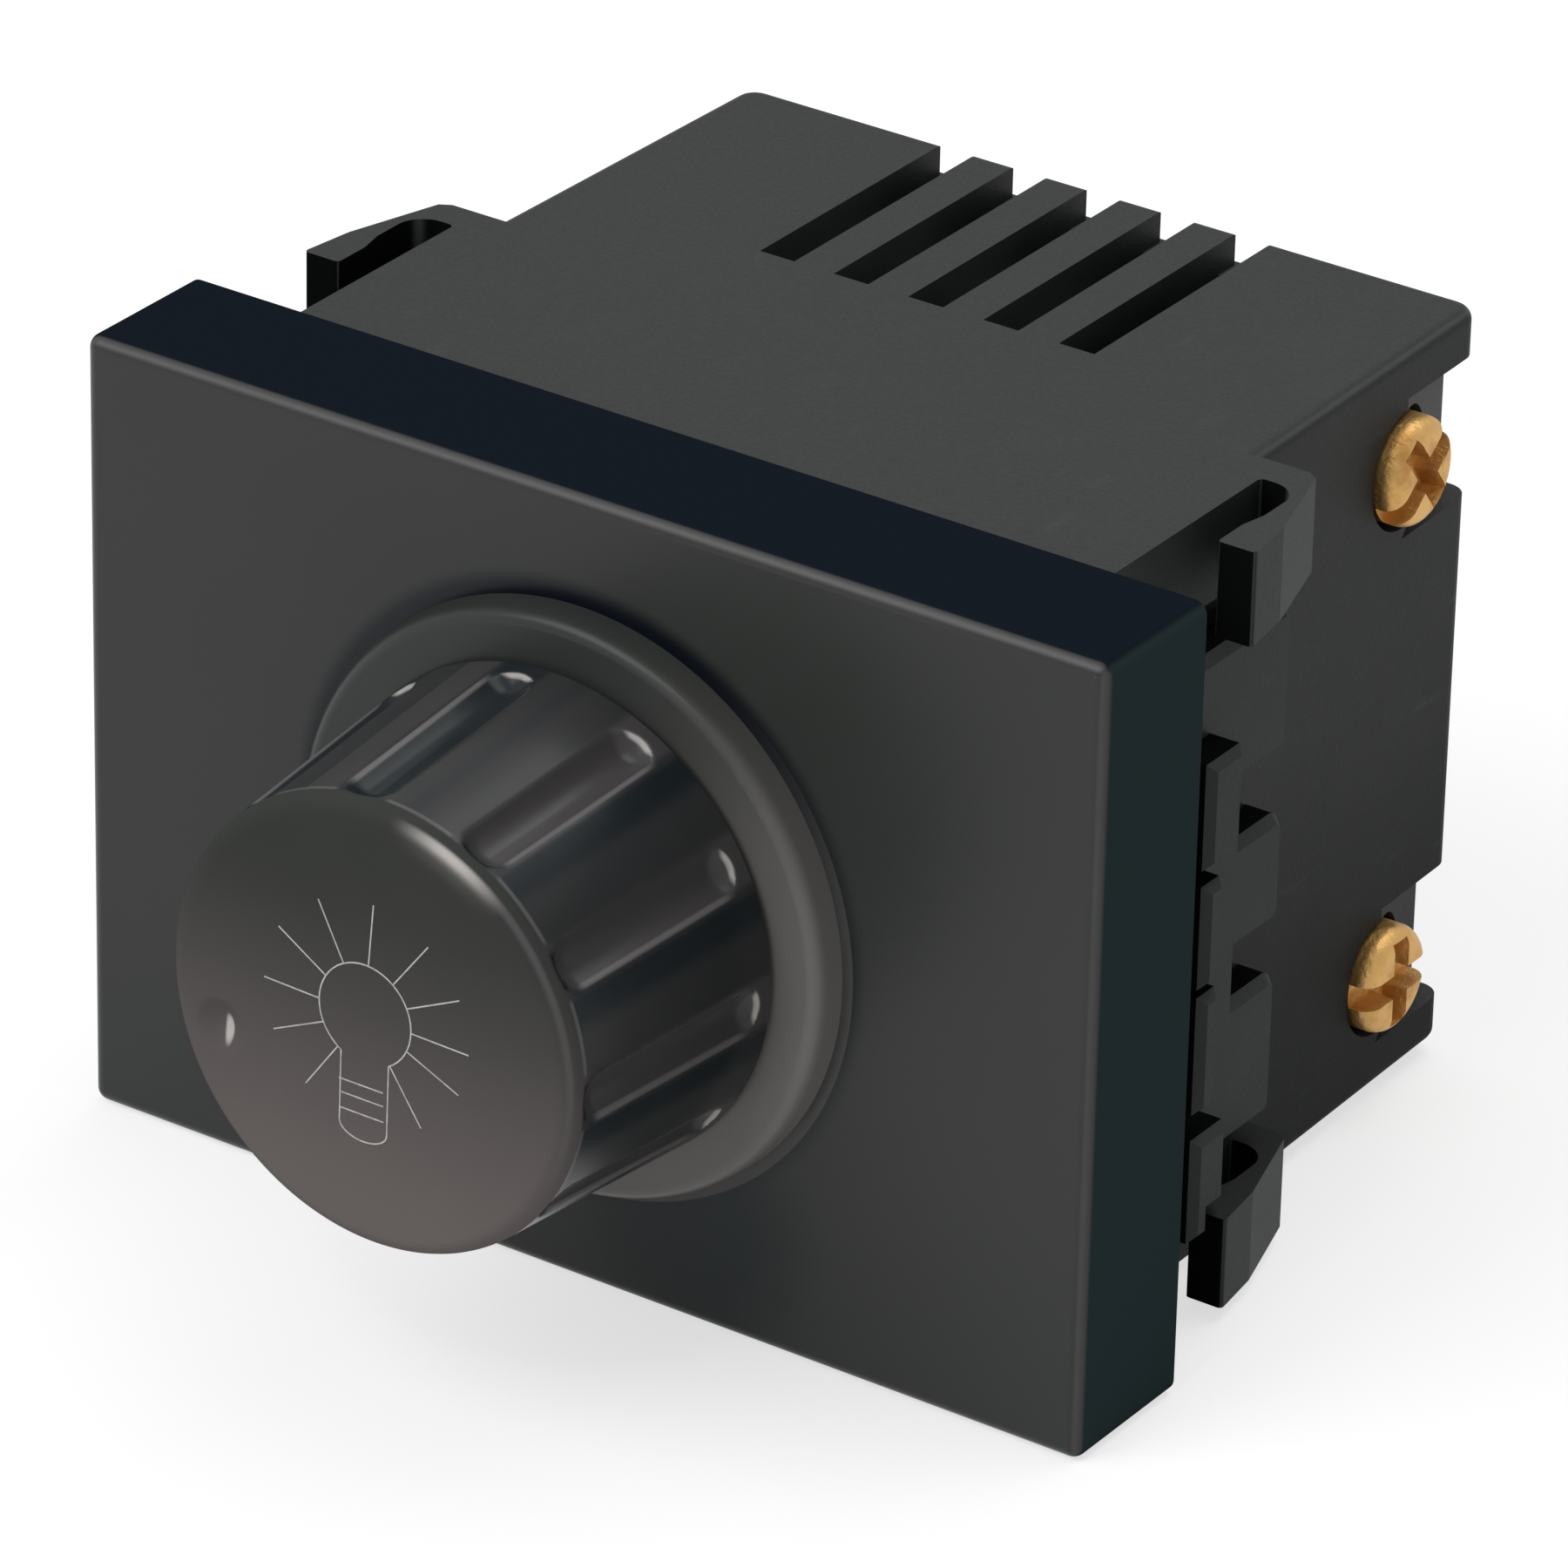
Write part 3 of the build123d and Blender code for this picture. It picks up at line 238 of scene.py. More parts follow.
class Tree(Nodes):
    """The node tree of one material."""

    def __init__(self, name: str) -> None:
        """Make an empty material with an output node.

        Args:
            name: The material's name.
        """
        self.material = bpy.data.materials.new(name)
        self.material.use_nodes = True
        super().__init__(self.material.node_tree)
        self.output = self.node("OutputMaterial")
        self.place = self.node("TexCoord").outputs["Object"]

    def axis(self, name: str) -> Value:
        """Millimetres along one axis of the part.

        Args:
            name: X, Y or Z.

        Returns:
            The place along that axis.
        """
        parts = self.node("SeparateXYZ", inputs={0: self.place})
        return Value(self, parts.outputs[name]) * (1 / MM)

    def facing(self, name: str) -> Value:
        """How far the surface's normal points along one axis, from -1 to 1.

        Args:
            name: X, Y or Z.

        Returns:
            That part of the normal.
        """
        normal = self.node("NewGeometry").outputs["Normal"]
        return Value(self, self.node("SeparateXYZ", inputs={0: normal}).outputs[name])

    def noise(self, grain_mm: float, detail: float = 2.0, stretch: Point = (1.0, 1.0, 1.0)) -> Value:
        """Cloudy noise with a grain of a given size.

        Args:
            grain_mm: Size of one cloud.
            detail: Number of finer layers.
            stretch: How much longer the clouds are along X, Y and Z.

        Returns:
            The noise, around 0.5.
        """
        scale = tuple(1 / (grain_mm * MM * part) for part in stretch)
        place = self.node("VectorMath", {"operation": "MULTIPLY"}, {0: self.place, 1: scale})
        inputs = {"Vector": place.outputs[0], "Scale": 1.0, "Detail": detail, "Roughness": 0.55}
        return Value(self, self.node("TexNoise", inputs=inputs).outputs[0])

    def mix(self, factor: "Value | float", first: object, second: object) -> Socket:
        """Mix two colours.

        Args:
            factor: 0 for the first colour, 1 for the second.
            first: A colour or a colour socket.
            second: A colour or a colour socket.

        Returns:
            The mixed colour.
        """
        settings = {"data_type": "RGBA", "clamp_factor": True}
        return self.node("Mix", settings, {0: factor, 6: first, 7: second}).outputs[2]

    def mix_shaders(self, factor: Value, first: object, second: object) -> Socket:
        """Mix two surfaces: the first at a factor of 0, the second at 1."""
        return self.node("MixShader", inputs={0: factor, 1: first, 2: second}).outputs[0]

    def fading_gloss(self, inputs: dict[str, object], gloss: float, dull: Value) -> Socket:
        """A surface whose mirroring fades out.

        Args:
            inputs: What goes to the sockets of both shaders.
            gloss: The specular level where it mirrors.
            dull: 0 where it mirrors, 1 where it doesn't.

        Returns:
            The surface.
        """
        glossy, matt = (self.shader({**inputs, "Specular IOR Level": level}) for level in (gloss, 0.0))
        return self.mix_shaders(dull, glossy, matt)

    def bump(self, height: Value, depth_mm: float) -> Socket:
        """Turn a height into a bumped normal.

        Args:
            height: The height, around 0 to 1.
            depth_mm: How deep a height of 1 is.

        Returns:
            The normal.
        """
        node = self.node("Bump", inputs={"Height": height, "Strength": 1.0, "Distance": depth_mm * MM})
        return node.outputs[0]

    def shader(self, inputs: dict[int | str, object]) -> Socket:
        """Add a Principled surface and give its output."""
        return self.node("BsdfPrincipled", inputs=inputs).outputs[0]

    def finish(self, surface: Socket) -> Material:
        """Send a surface to the output and give the material."""
        self._plug(self.output.inputs["Surface"], surface)
        return self.material


@dataclass(frozen=True)
class PlateGloss:
    """Polished black moulding of the plate. Its colour holds painted light: the collar is lit paler towards
    the lower right, a painted shade ring lies round the collar, painted shade covers the top, bottom and
    sides, the part below the collar and the bottom of the face, and painted highlights run along the front
    face's right and top edge. Lengths in millimetres.
    """

    face: Colour = linear(52, 54, 52)
    # rim and side: painted shade, darker copies of the face's colour for the top and bottom faces and for the
    # left and right faces
    rim: Colour = linear(22, 28, 35)
    side: Colour = linear(43, 55, 57)
    # edge: painted highlight along the front face's right and top edge
    edge: Colour = linear(80, 78, 78)
    # ring: painted shade round the collar, strongest towards the upper left
    ring: Colour = linear(9, 14, 24)
    shade: Colour = linear(15, 28, 32)
    cloudy: Colour = linear(66, 68, 70)
    # collar colours: painted light, paler towards the lower right and darker towards the upper left
    collar_shaded: Colour = linear(54, 57, 55)
    collar_lit: Colour = linear(120, 117, 114)
    collar_towards: FlatPoint = (-0.6, 0.8)
    collar_span: Span = (0.8, -0.9)
    collar_edge: Span = (13.2, 13.3)
    ring_inner: Span = (12.6, 12.7)
    ring_outer: Span = (14.0, 13.1)
    ring_span: Span = (-0.5, 0.6)
    ring_least: float = 0.6
    shade_middle: FlatPoint = (6.0, -13.0)
    shade_span: Span = (7.0, 2.0)
    shade_share: float = 0.85
    low_span: Span = (-4.0, -17.0)
    low_share: float = 0.12
    front_facing: Span = (0.35, 0.85)
    side_facing: Span = (0.4, 0.9)
    edge_facing: Span = (0.28, 0.46)
    right_edge_share: float = 0.7
    top_edge_share: float = 0.8
    cloud_mm: float = 9.0
    cloud_span: Span = (0.3, 0.8)
    cloud_share: float = 0.1
    speck_mm: float = 0.12
    speck_depth_mm: float = 0.0006
    roughness: float = 0.26
    roughness_change: float = 0.08
    gloss: float = 0.22

    def build(self) -> Material:
        """Make the material.

        Returns:
            The plate's material.
        """
        tree = Tree("plate_gloss")
        across, high = tree.axis("X"), tree.axis("Z")
        radius = (across * across + high * high) ** 0.5
        towards = (across * self.collar_towards[0] + high * self.collar_towards[1]) / radius
        outside = radius.rise(*self.collar_edge)
        ahead = tree.facing("Y") * -1.0
        front = ahead.rise(*self.front_facing)
        side = abs(tree.facing("X")).rise(*self.side_facing)
        right, top = (tree.facing(name).math("MAXIMUM", 0.0) for name in "XZ")
        # painted highlight where the front face turns to the right side and to the top
        edges = (ahead * right).rise(*self.edge_facing) * self.right_edge_share
        edges = edges + (ahead * top).rise(*self.edge_facing) * self.top_edge_share
        # painted light on the collar: paler towards the lower right
        collar = tree.mix(towards.rise(*self.collar_span), self.collar_shaded, self.collar_lit)
        # painted shade by face direction: rim colour on the top and bottom, side colour on the left and right
        rims = tree.mix(outside, collar, tree.mix(side, self.rim, self.side))
        # painted shade round the collar, strongest towards the upper left
        ring = radius.rise(*self.ring_outer) * radius.rise(*self.ring_inner)
        ring = ring * (towards.rise(*self.ring_span) * (1.0 - self.ring_least) + self.ring_least)
        away = ((across - self.shade_middle[0]) ** 2.0 + (high - self.shade_middle[1]) ** 2.0) ** 0.5
        shade = away.rise(*self.shade_span) * front * outside
        low = high.rise(*self.low_span) * front * outside
        cloud = tree.noise(self.cloud_mm, 3.0)
        base = tree.mix(ring * front, tree.mix(front * outside, rims, self.face), self.ring)
        base = tree.mix(low * self.low_share, base, self.shade)
        base = tree.mix(shade * self.shade_share, base, self.shade)
        base = tree.mix(edges * outside, base, self.edge)
        base = tree.mix(cloud.rise(*self.cloud_span) * front * self.cloud_share, base, self.cloudy)
        inputs = {
            "Base Color": base,
            "Roughness": cloud * self.roughness_change + self.roughness,
            "Normal": tree.bump(tree.noise(self.speck_mm, 2.0), self.speck_depth_mm),
        }
        return tree.finish(tree.fading_gloss(inputs, self.gloss, 1.0 - front))


@dataclass(frozen=True)
class KnobSatin:
    """Satin warm black moulding of the knob, with painted light and shade on its grooves and lands, painted
    highlights on its lips, its rim and its dimple, and a face that a painted reflection pales towards its
    bottom.

    Lengths are in millimetres and turns in degrees from +X. Places across a groove are shares of the pitch,
    counted from the groove's middle.
    """

    body: Colour = linear(46, 47, 48)
    # groove: painted light inside the grooves; the next colour is painted shade below them, in the grooves on
    # top and at their front ends
    groove: Colour = linear(66, 64, 65)
    shade_band: Colour = linear(22, 31, 35)
    # painted highlight on the knob: the lip lines, the rim line and the line along the front of the lands
    sheen_and_wear: Colour = linear(100, 97, 98)
    # painted highlights on the knob: crescents at the grooves' rear ends, the streak on the rim and the glint
    # in the dimple
    glint_and_wear: Colour = linear(205, 200, 196)
    cloudy: Colour = linear(84, 80, 80)
    # face colours: a painted reflection, paler towards the bottom of the face
    face_top: Colour = linear(60, 62, 60)
    face_bottom: Colour = linear(110, 103, 102)
    face_span: Span = (7.2, -9.6)
    face_facing: Span = (0.55, 0.95)
    count: int = 11
    first: float = 30.2
    pitch_length: float = 5.7
    top_begin: Span = (78.0, 86.0)
    top_end: Span = (172.0, 140.0)
    groove_lower: Span = (-0.2, -0.13)
    groove_upper: Span = (0.24, 0.15)
    below_near: Span = (-0.19, -0.26)
    below_far: Span = (-0.52, -0.36)
    above_span: Span = (0.2, 0.27)
    above_share: float = 0.8
    shade_band_share: float = 0.9
    lip: Band = (-0.175, 0.03, 0.008)
    top_lip: Band = (0.19, 0.03, 0.008)
    lip_front: Span = (-19.3, -18.6)
    lip_rear: Span = (-9.6, -10.6)
    brow_depths: Band = (-19.8, 0.16, 0.04)
    brow_span: Span = (0.19, 0.25)
    brow_share: float = 0.7
    blob_depths: Span = (-19.2, -19.8)
    blob_span: Span = (0.2, 0.1)
    end_depth: float = -10.4
    end_radii: Band = (0.98, 0.14, 0.04)
    end_depths: Span = (-9.7, -9.48)
    end_share: float = 0.7
    rim_depths: Span = (-19.8, -20.0)
    line_depths: Band = (-20.45, 0.16, 0.03)
    line_begin: Span = (-36.0, -18.0)
    line_end: Span = (70.0, 52.0)
    line_share: float = 0.6
    streak_turns: Band = (66.0, 19.0, 1.0)
    streak_depths: Band = (-20.5, 0.22, 0.04)
    spot_middle: FlatPoint = (-6.85, -2.3)
    spot_slimness: float = 2.6
    spot_span: Span = (0.6, 0.12)
    spot_share: float = 0.8
    cloud_mm: float = 6.0
    cloud_span: Span = (0.35, 0.8)
    cloud_share: float = 0.1
    grain_mm: float = 0.1
    grain_depth_mm: float = 0.0008
    roughness: float = 0.22
    roughness_change: float = 0.08
    gloss: float = 0.2

    def build(self) -> Material:
        """Make the material.

        Returns:
            The knob's material.
        """
        tree = Tree("knob_satin")
        depth = tree.axis("Y")
        turn = tree.axis("Z").math("ARCTAN2", tree.axis("X")) * (180 / math.pi)
        # painted reflection: the face pales towards the bottom, by world height
        position = tree.node("NewGeometry").outputs["Position"]
        height = Value(tree, tree.node("SeparateXYZ", inputs={0: position}).outputs["Z"]) * (1 / MM)
        graded = tree.mix(height.rise(*self.face_span), self.face_top, self.face_bottom)
        rim = depth.rise(*self.rim_depths)
        face = (tree.facing("Y") * -1.0).rise(*self.face_facing)
        base = tree.mix(rim, self._flank(tree, turn, depth), graded)
        base = tree.mix(face, base, graded)
        cloud = tree.noise(self.cloud_mm, 2.0)
        base = tree.mix(cloud.rise(*self.cloud_span) * self.cloud_share, base, self.cloudy)
        # painted highlight: a thin line along the rim on the right
        line = turn.rise(*self.line_begin) * turn.rise(*self.line_end)
        line = line * depth.near(*self.line_depths)
        base = tree.mix(line * self.line_share, base, self.sheen_and_wear)
        # painted highlights: a streak on the upper right of the rim and a glint in the dimple
        streak = turn.near(*self.streak_turns) * depth.near(*self.streak_depths)
        across = (tree.axis("X") - self.spot_middle[0]) * self.spot_slimness
        spot = (across ** 2.0 + (tree.axis("Z") - self.spot_middle[1]) ** 2.0).rise(*self.spot_span) * face
        base = tree.mix((streak + spot) * self.spot_share, base, self.glint_and_wear)
        inputs = {
            "Base Color": base,
            "Roughness": cloud * self.roughness_change + self.roughness,
            "Normal": tree.bump(tree.noise(self.grain_mm, 3.0), self.grain_depth_mm),
        }
        return tree.finish(tree.fading_gloss(inputs, self.gloss, rim))

    def _flank(self, tree: Tree, turn: Value, depth: Value) -> Socket:
        """Colour of the flank: painted light and shade on the grooves and the lands between them, painted
        highlights along the lips, the front of the lands and the grooves' rear ends, and painted shade at the
        grooves' front ends.

        Args:
            tree: The material's tree.
            turn: The turn about the axis.
            depth: The place along Y.

        Returns:
            The colour.
        """
        place = ((turn - self.first) * (self.count / 360) + 0.5).math("FRACT") - 0.5
        top = turn.rise(*self.top_begin) * turn.rise(*self.top_end)
        rest = 1.0 - top
        # painted light and shade: paler in each groove and darker on the land below it; on top, darker in the
        # groove and paler on the land above it
        groove = place.rise(*self.groove_lower) * place.rise(*self.groove_upper)
        below = place.rise(*self.below_near) * place.rise(*self.below_far)
        pale = groove * rest + place.rise(*self.above_span) * top * self.above_share
        dark = below * rest + groove * top
        colour = tree.mix(dark * self.shade_band_share, tree.mix(pale, self.body, self.groove), self.shade_band)
        # painted highlight along the lower lip of each groove, and along the upper lip on top
        lip = place.near(*self.lip) * rest + place.near(*self.top_lip) * top
        lip = lip * depth.rise(*self.lip_front) * depth.rise(*self.lip_rear)
        colour = tree.mix(lip, colour, self.sheen_and_wear)
        # painted shade at the grooves' front ends
        blob = depth.rise(*self.blob_depths) * abs(place).rise(*self.blob_span)
        colour = tree.mix(blob, colour, self.shade_band)
        # painted highlight along the front of each land
        brow = depth.near(*self.brow_depths) * abs(place).rise(*self.brow_span)
        colour = tree.mix(brow * self.brow_share, colour, self.sheen_and_wear)
        # painted highlight: a crescent at each groove's rear end
        away = ((place * self.pitch_length) ** 2.0 + (depth - self.end_depth) ** 2.0) ** 0.5
        end = away.near(*self.end_radii) * depth.rise(*self.end_depths)
        return tree.mix(end * self.end_share, colour, self.glint_and_wear)


@dataclass(frozen=True)
class HousingMatte:
    """Fine matt black moulding of the housing, with an eroded grain and scuffs. Its colour holds painted
    light: painted shade on the faces that don't point up, darker towards the bottom of the sides and on
    hidden faces of the claws and combs, a paler copy on the outer faces of the claws and combs, and pale edge
    lines that are partly wear and partly painted highlight. Lengths in millimetres.
    """

    # base on faces that point up, low on the others: the low colour is painted shade on the sides
    base: Colour = linear(50, 52, 51)
    low: Colour = linear(28, 31, 30)
    # deep: painted shade that darkens the sides towards the bottom
    deep: Colour = linear(11, 13, 13)
    # block: painted light, a paler copy on the faces beyond the side walls that don't point up
    block: Colour = linear(42, 45, 45)
    # recess: painted shade on hidden faces of the claws and combs
    recess: Colour = linear(13, 14, 14)
    # pale colour for scuffs, which are wear, and for edge lines, which are partly wear and partly painted
    # highlight
    sheen_and_wear: Colour = linear(82, 86, 85)
    cloudy: Colour = linear(64, 67, 66)
    pitted: Colour = linear(20, 22, 22)
    up_facing: Span = (-0.2, 0.9)
    hidden_facing: Span = (0.3, 0.8)
    hidden_share: float = 0.95
    beyond_side: Span = (19.0, 19.3)
    claw_bottom: Span = (12.8, 12.7)
    bottom_shading_span: Span = (8.0, -15.0)
    bottom_shading_share: float = 0.5
    bottom_shading_dullness: float = 0.42
    edge_facing: Span = (0.08, 0.26)
    edge_share: float = 0.55
    cloud_mm: float = 7.0
    cloud_span: Span = (0.4, 0.75)
    cloud_share: float = 0.22
    scuff_mm: float = 1.1
    scuff_stretch: Point = (1.0, 4.0, 1.0)
    scuff_span: Span = (0.62, 0.8)
    scuff_share: float = 0.18
    grain_mm: float = 0.16
    grain_depth_mm: float = 0.012
    pit_contrast: float = 2.4
    pit_level: float = 0.7
    pit_share: float = 0.26
    roughness: float = 0.42
    cloud_roughness: float = 0.16
    grain_roughness: float = 0.1
    gloss: float = 0.14

    def build(self) -> Material:
        """Make the material.

        Returns:
            The housing's material.
        """
        tree = Tree("housing_matte")
        cloud = tree.noise(self.cloud_mm, 4.0)
        grain = tree.noise(self.grain_mm, 3.0)
        scuff = tree.noise(self.scuff_mm, 5.0, self.scuff_stretch).rise(*self.scuff_span)
        across, ahead, high = (tree.facing(name) for name in "XYZ")
        up = high.rise(*self.up_facing)
        beyond = abs(tree.axis("X")).rise(*self.beyond_side)
        # painted shade, darker towards the bottom of the sides
        bottom_shading = tree.axis("Z").rise(*self.bottom_shading_span) * (1.0 - up) * (1.0 - beyond)
        # painted shade on claw and comb faces that point up below the claws, forwards or inwards
        under_claw = abs(tree.axis("Z")).rise(*self.claw_bottom)
        hidden_top = high.rise(*self.hidden_facing) * under_claw
        hidden_front = (ahead * -1.0).rise(*self.hidden_facing)
        inward = (across * tree.axis("X").math("SIGN") * -1.0).rise(*self.hidden_facing)
        hidden = hidden_top.math("MAXIMUM", hidden_front).math("MAXIMUM", inward) * beyond
        straight = abs(across).math("MAXIMUM", abs(ahead)).math("MAXIMUM", abs(high))
        edge = (1.0 - straight).rise(*self.edge_facing)
        pits = (grain * self.pit_contrast).math("SUBTRACT", self.pit_level, clamp=True)
        # painted shade: the low colour on faces that don't point up, and the deep colour towards the bottom
        # of the sides
        base = tree.mix(bottom_shading * self.bottom_shading_share, tree.mix(up, self.low, self.base), self.deep)
        # painted light: paler faces beyond the side walls
        base = tree.mix(beyond * (1.0 - up), base, self.block)
        base = tree.mix(cloud.rise(*self.cloud_span) * self.cloud_share, base, self.cloudy)
        base = tree.mix(scuff * self.scuff_share, base, self.sheen_and_wear)
        base = tree.mix(pits * self.pit_share, base, self.pitted)
        # pale edge lines: partly wear, partly painted highlight
        base = tree.mix(edge * self.edge_share, base, self.sheen_and_wear)
        base = tree.mix(hidden * (1.0 - edge) * self.hidden_share, base, self.recess)
        inputs = {
            "Base Color": base,
            "Roughness": cloud * self.cloud_roughness + grain * self.grain_roughness + self.roughness,
            "Normal": tree.bump(grain, self.grain_depth_mm),
        }
        dull = hidden.math("MAXIMUM", bottom_shading * self.bottom_shading_dullness)
        return tree.finish(tree.fading_gloss(inputs, self.gloss, dull))


@dataclass(frozen=True)
class Metal:
    """A metal with soft stains, fine scratches and a cast or rolled grain."""

    name: str
    base: Colour
    stain: Colour
    roughness: float = 0.35
    roughness_change: float = 0.2
    stain_mm: float = 1.6
    stain_span: Span = (0.42, 0.7)
    stain_share: float = 0.7
    scratch_mm: float = 0.25
    scratch_stretch: Point = (6.0, 1.0, 1.0)
    scratch_span: Span = (0.6, 0.72)
    scratch_roughness: float = 0.08
    scratch_height: float = 0.3
    grain_mm: float = 0.15
    depth_mm: float = 0.006

    def build(self) -> Material:
        """Make the material.

        Returns:
            The metal's material.
        """
        tree = Tree(self.name)
        cloud = tree.noise(self.stain_mm, 4.0)
        grain = tree.noise(self.grain_mm, 3.0)
        scratch = tree.noise(self.scratch_mm, 2.0, self.scratch_stretch).rise(*self.scratch_span)
        least = self.roughness - self.roughness_change / 2
        return tree.finish(tree.shader({
            "Base Color": tree.mix(cloud.rise(*self.stain_span) * self.stain_share, self.base, self.stain),
            "Metallic": 1.0,
            "Roughness": cloud * self.roughness_change + scratch * self.scratch_roughness + least,
            "Normal": tree.bump(grain + scratch * self.scratch_height, self.depth_mm),
        }))


@dataclass(frozen=True)
class Moulded:
    """A moulded, lacquered or laminated body with a slight mottle."""

    name: str
    base: Colour
    mottle: Colour
    roughness: float = 0.4
    roughness_change: float = 0.12
    mottle_mm: float = 2.4
    mottle_span: Span = (0.4, 0.7)
    mottle_share: float = 0.6
    grain_mm: float = 0.2
    depth_mm: float = 0.004
    gloss: float = 0.35

    def build(self) -> Material:
        """Make the material.

        Returns:
            The body's material.
        """
        tree = Tree(self.name)
        cloud = tree.noise(self.mottle_mm, 4.0)
        return tree.finish(tree.shader({
            "Base Color": tree.mix(cloud.rise(*self.mottle_span) * self.mottle_share, self.base, self.mottle),
            "Roughness": cloud * self.roughness_change + (self.roughness - self.roughness_change / 2),
            "Specular IOR Level": self.gloss,
            "Normal": tree.bump(tree.noise(self.grain_mm, 3.0), self.depth_mm),
        }))


class BandAxis(Enum):
    """The axis that an axial part lies along."""

    ACROSS = "X"
    UPRIGHT = "Z"


@dataclass(frozen=True)
class Banded:
    """An axial part: a lacquered barrel with painted bands, and tinned leads. Lengths in millimetres."""

    name: str
    barrel: Colour
    bands: tuple[Colour, ...]
    axis: BandAxis
    middle: float
    half_length: float
    band_width: float = 0.6
    band_pitch: float = 1.05
    first_band: float = -1.9
    softness: float = 0.05
    mottle_darkness: float = 0.75
    lead: Colour = linear(190, 190, 186)
    lead_dull: Colour = linear(150, 150, 148)

    def build(self) -> Material:
        """Make the material.

        Returns:
            The part's material.
        """
        tree = Tree(self.name)
        along = tree.axis(self.axis.value) - self.middle
        cloud = tree.noise(1.2, 3.0)
        # a random darker mottle on the barrel, set by noise
        mottled = tuple(part * self.mottle_darkness for part in self.barrel)
        base = tree.mix(cloud.rise(0.4, 0.7) * 0.4, self.barrel, mottled)
        half_band = self.band_width / 2
        for index, band in enumerate(self.bands):
            place = self.first_band + index * self.band_pitch
            base = tree.mix(along.near(place, half_band, half_band - self.softness), base, band)
        beyond = abs(along).rise(self.half_length, self.half_length + self.softness)
        body = tree.shader({"Base Color": base, "Roughness": cloud * 0.1 + 0.3, "Specular IOR Level": 0.4})
        wire = tree.shader({
            "Base Color": tree.mix(cloud, self.lead, self.lead_dull),
            "Metallic": 1.0,
            "Roughness": 0.35,
        })
        return tree.finish(tree.mix_shaders(beyond, body, wire))


@dataclass(frozen=True)
class Glass:
    """Clear drawn glass with faint streaks."""

    tint: Colour = linear(240, 247, 246)
    streaked: Colour = linear(222, 232, 230)

    def build(self) -> Material:
        """Make the material.

        Returns:
            The glass material.
        """
        tree = Tree("fuse_glass")
        streak = tree.noise(0.8, 2.0, (8.0, 1.0, 1.0))
        return tree.finish(tree.shader({
            "Base Color": tree.mix(streak.rise(0.5, 0.8) * 0.3, self.tint, self.streaked),
            "Roughness": streak * 0.06 + 0.02,
            "Transmission Weight": 0.95,
            "IOR": 1.5,
        }))


@dataclass(frozen=True)
class PrintInk:
    """Thin grey ink of the printed sign, with slight wear."""

    ink: Colour = linear(196, 196, 192)
    # the ink's own wear
    glint_and_wear: Colour = linear(168, 168, 165)

    def build(self) -> Material:
        """Make the material.

        Returns:
            The ink's material.
        """
        tree = Tree("print_ink")
        wear = tree.noise(0.35, 3.0)
        return tree.finish(tree.shader({
            "Base Color": tree.mix(wear.rise(0.35, 0.7), self.ink, self.glint_and_wear),
            "Roughness": wear * 0.1 + 0.5,
            "Specular IOR Level": 0.2,
        }))


Finish = PlateGloss | KnobSatin | HousingMatte | Metal | Moulded | Banded | Glass


def dress(nodes: Pieces, finish: Finish, *names: str) -> Material:
    """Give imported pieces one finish, in every material slot.

    Args:
        nodes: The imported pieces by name.
        finish: The finish that they share.
        names: The names of the pieces.

    Returns:
        The finish's material.
    """
    material = finish.build()
    for name in names:
        for slot in nodes[name].material_slots:
            slot.material = material
        LOG.info("piece %s gets %s", name, material.name)
    return material


def add_piece(name: str, mesh: bmesh.types.BMesh, material: Material) -> bpy.types.Object:
    """Put a new piece into the scene.

    Args:
        name: The piece's name.
        mesh: The piece's mesh, which is used up.
        material: Its only material.

    Returns:
        The new piece.
    """
    data = bpy.data.meshes.new(name)
    mesh.to_mesh(data)
    mesh.free()
    data.materials.clear()
    data.materials.append(material)
    piece = bpy.data.objects.new(name, data)
    bpy.context.scene.collection.objects.link(piece)
    LOG.info("piece %s with %d faces", name, len(data.polygons))
    return piece


@dataclass
class FrontPlate:
    """The front plate with its collar."""

    finish: PlateGloss = field(default_factory=PlateGloss)

    def build(self, nodes: Pieces) -> None:
        """Dress the plate.

        Args:
            nodes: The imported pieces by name.
        """
        dress(nodes, self.finish, "front_plate")


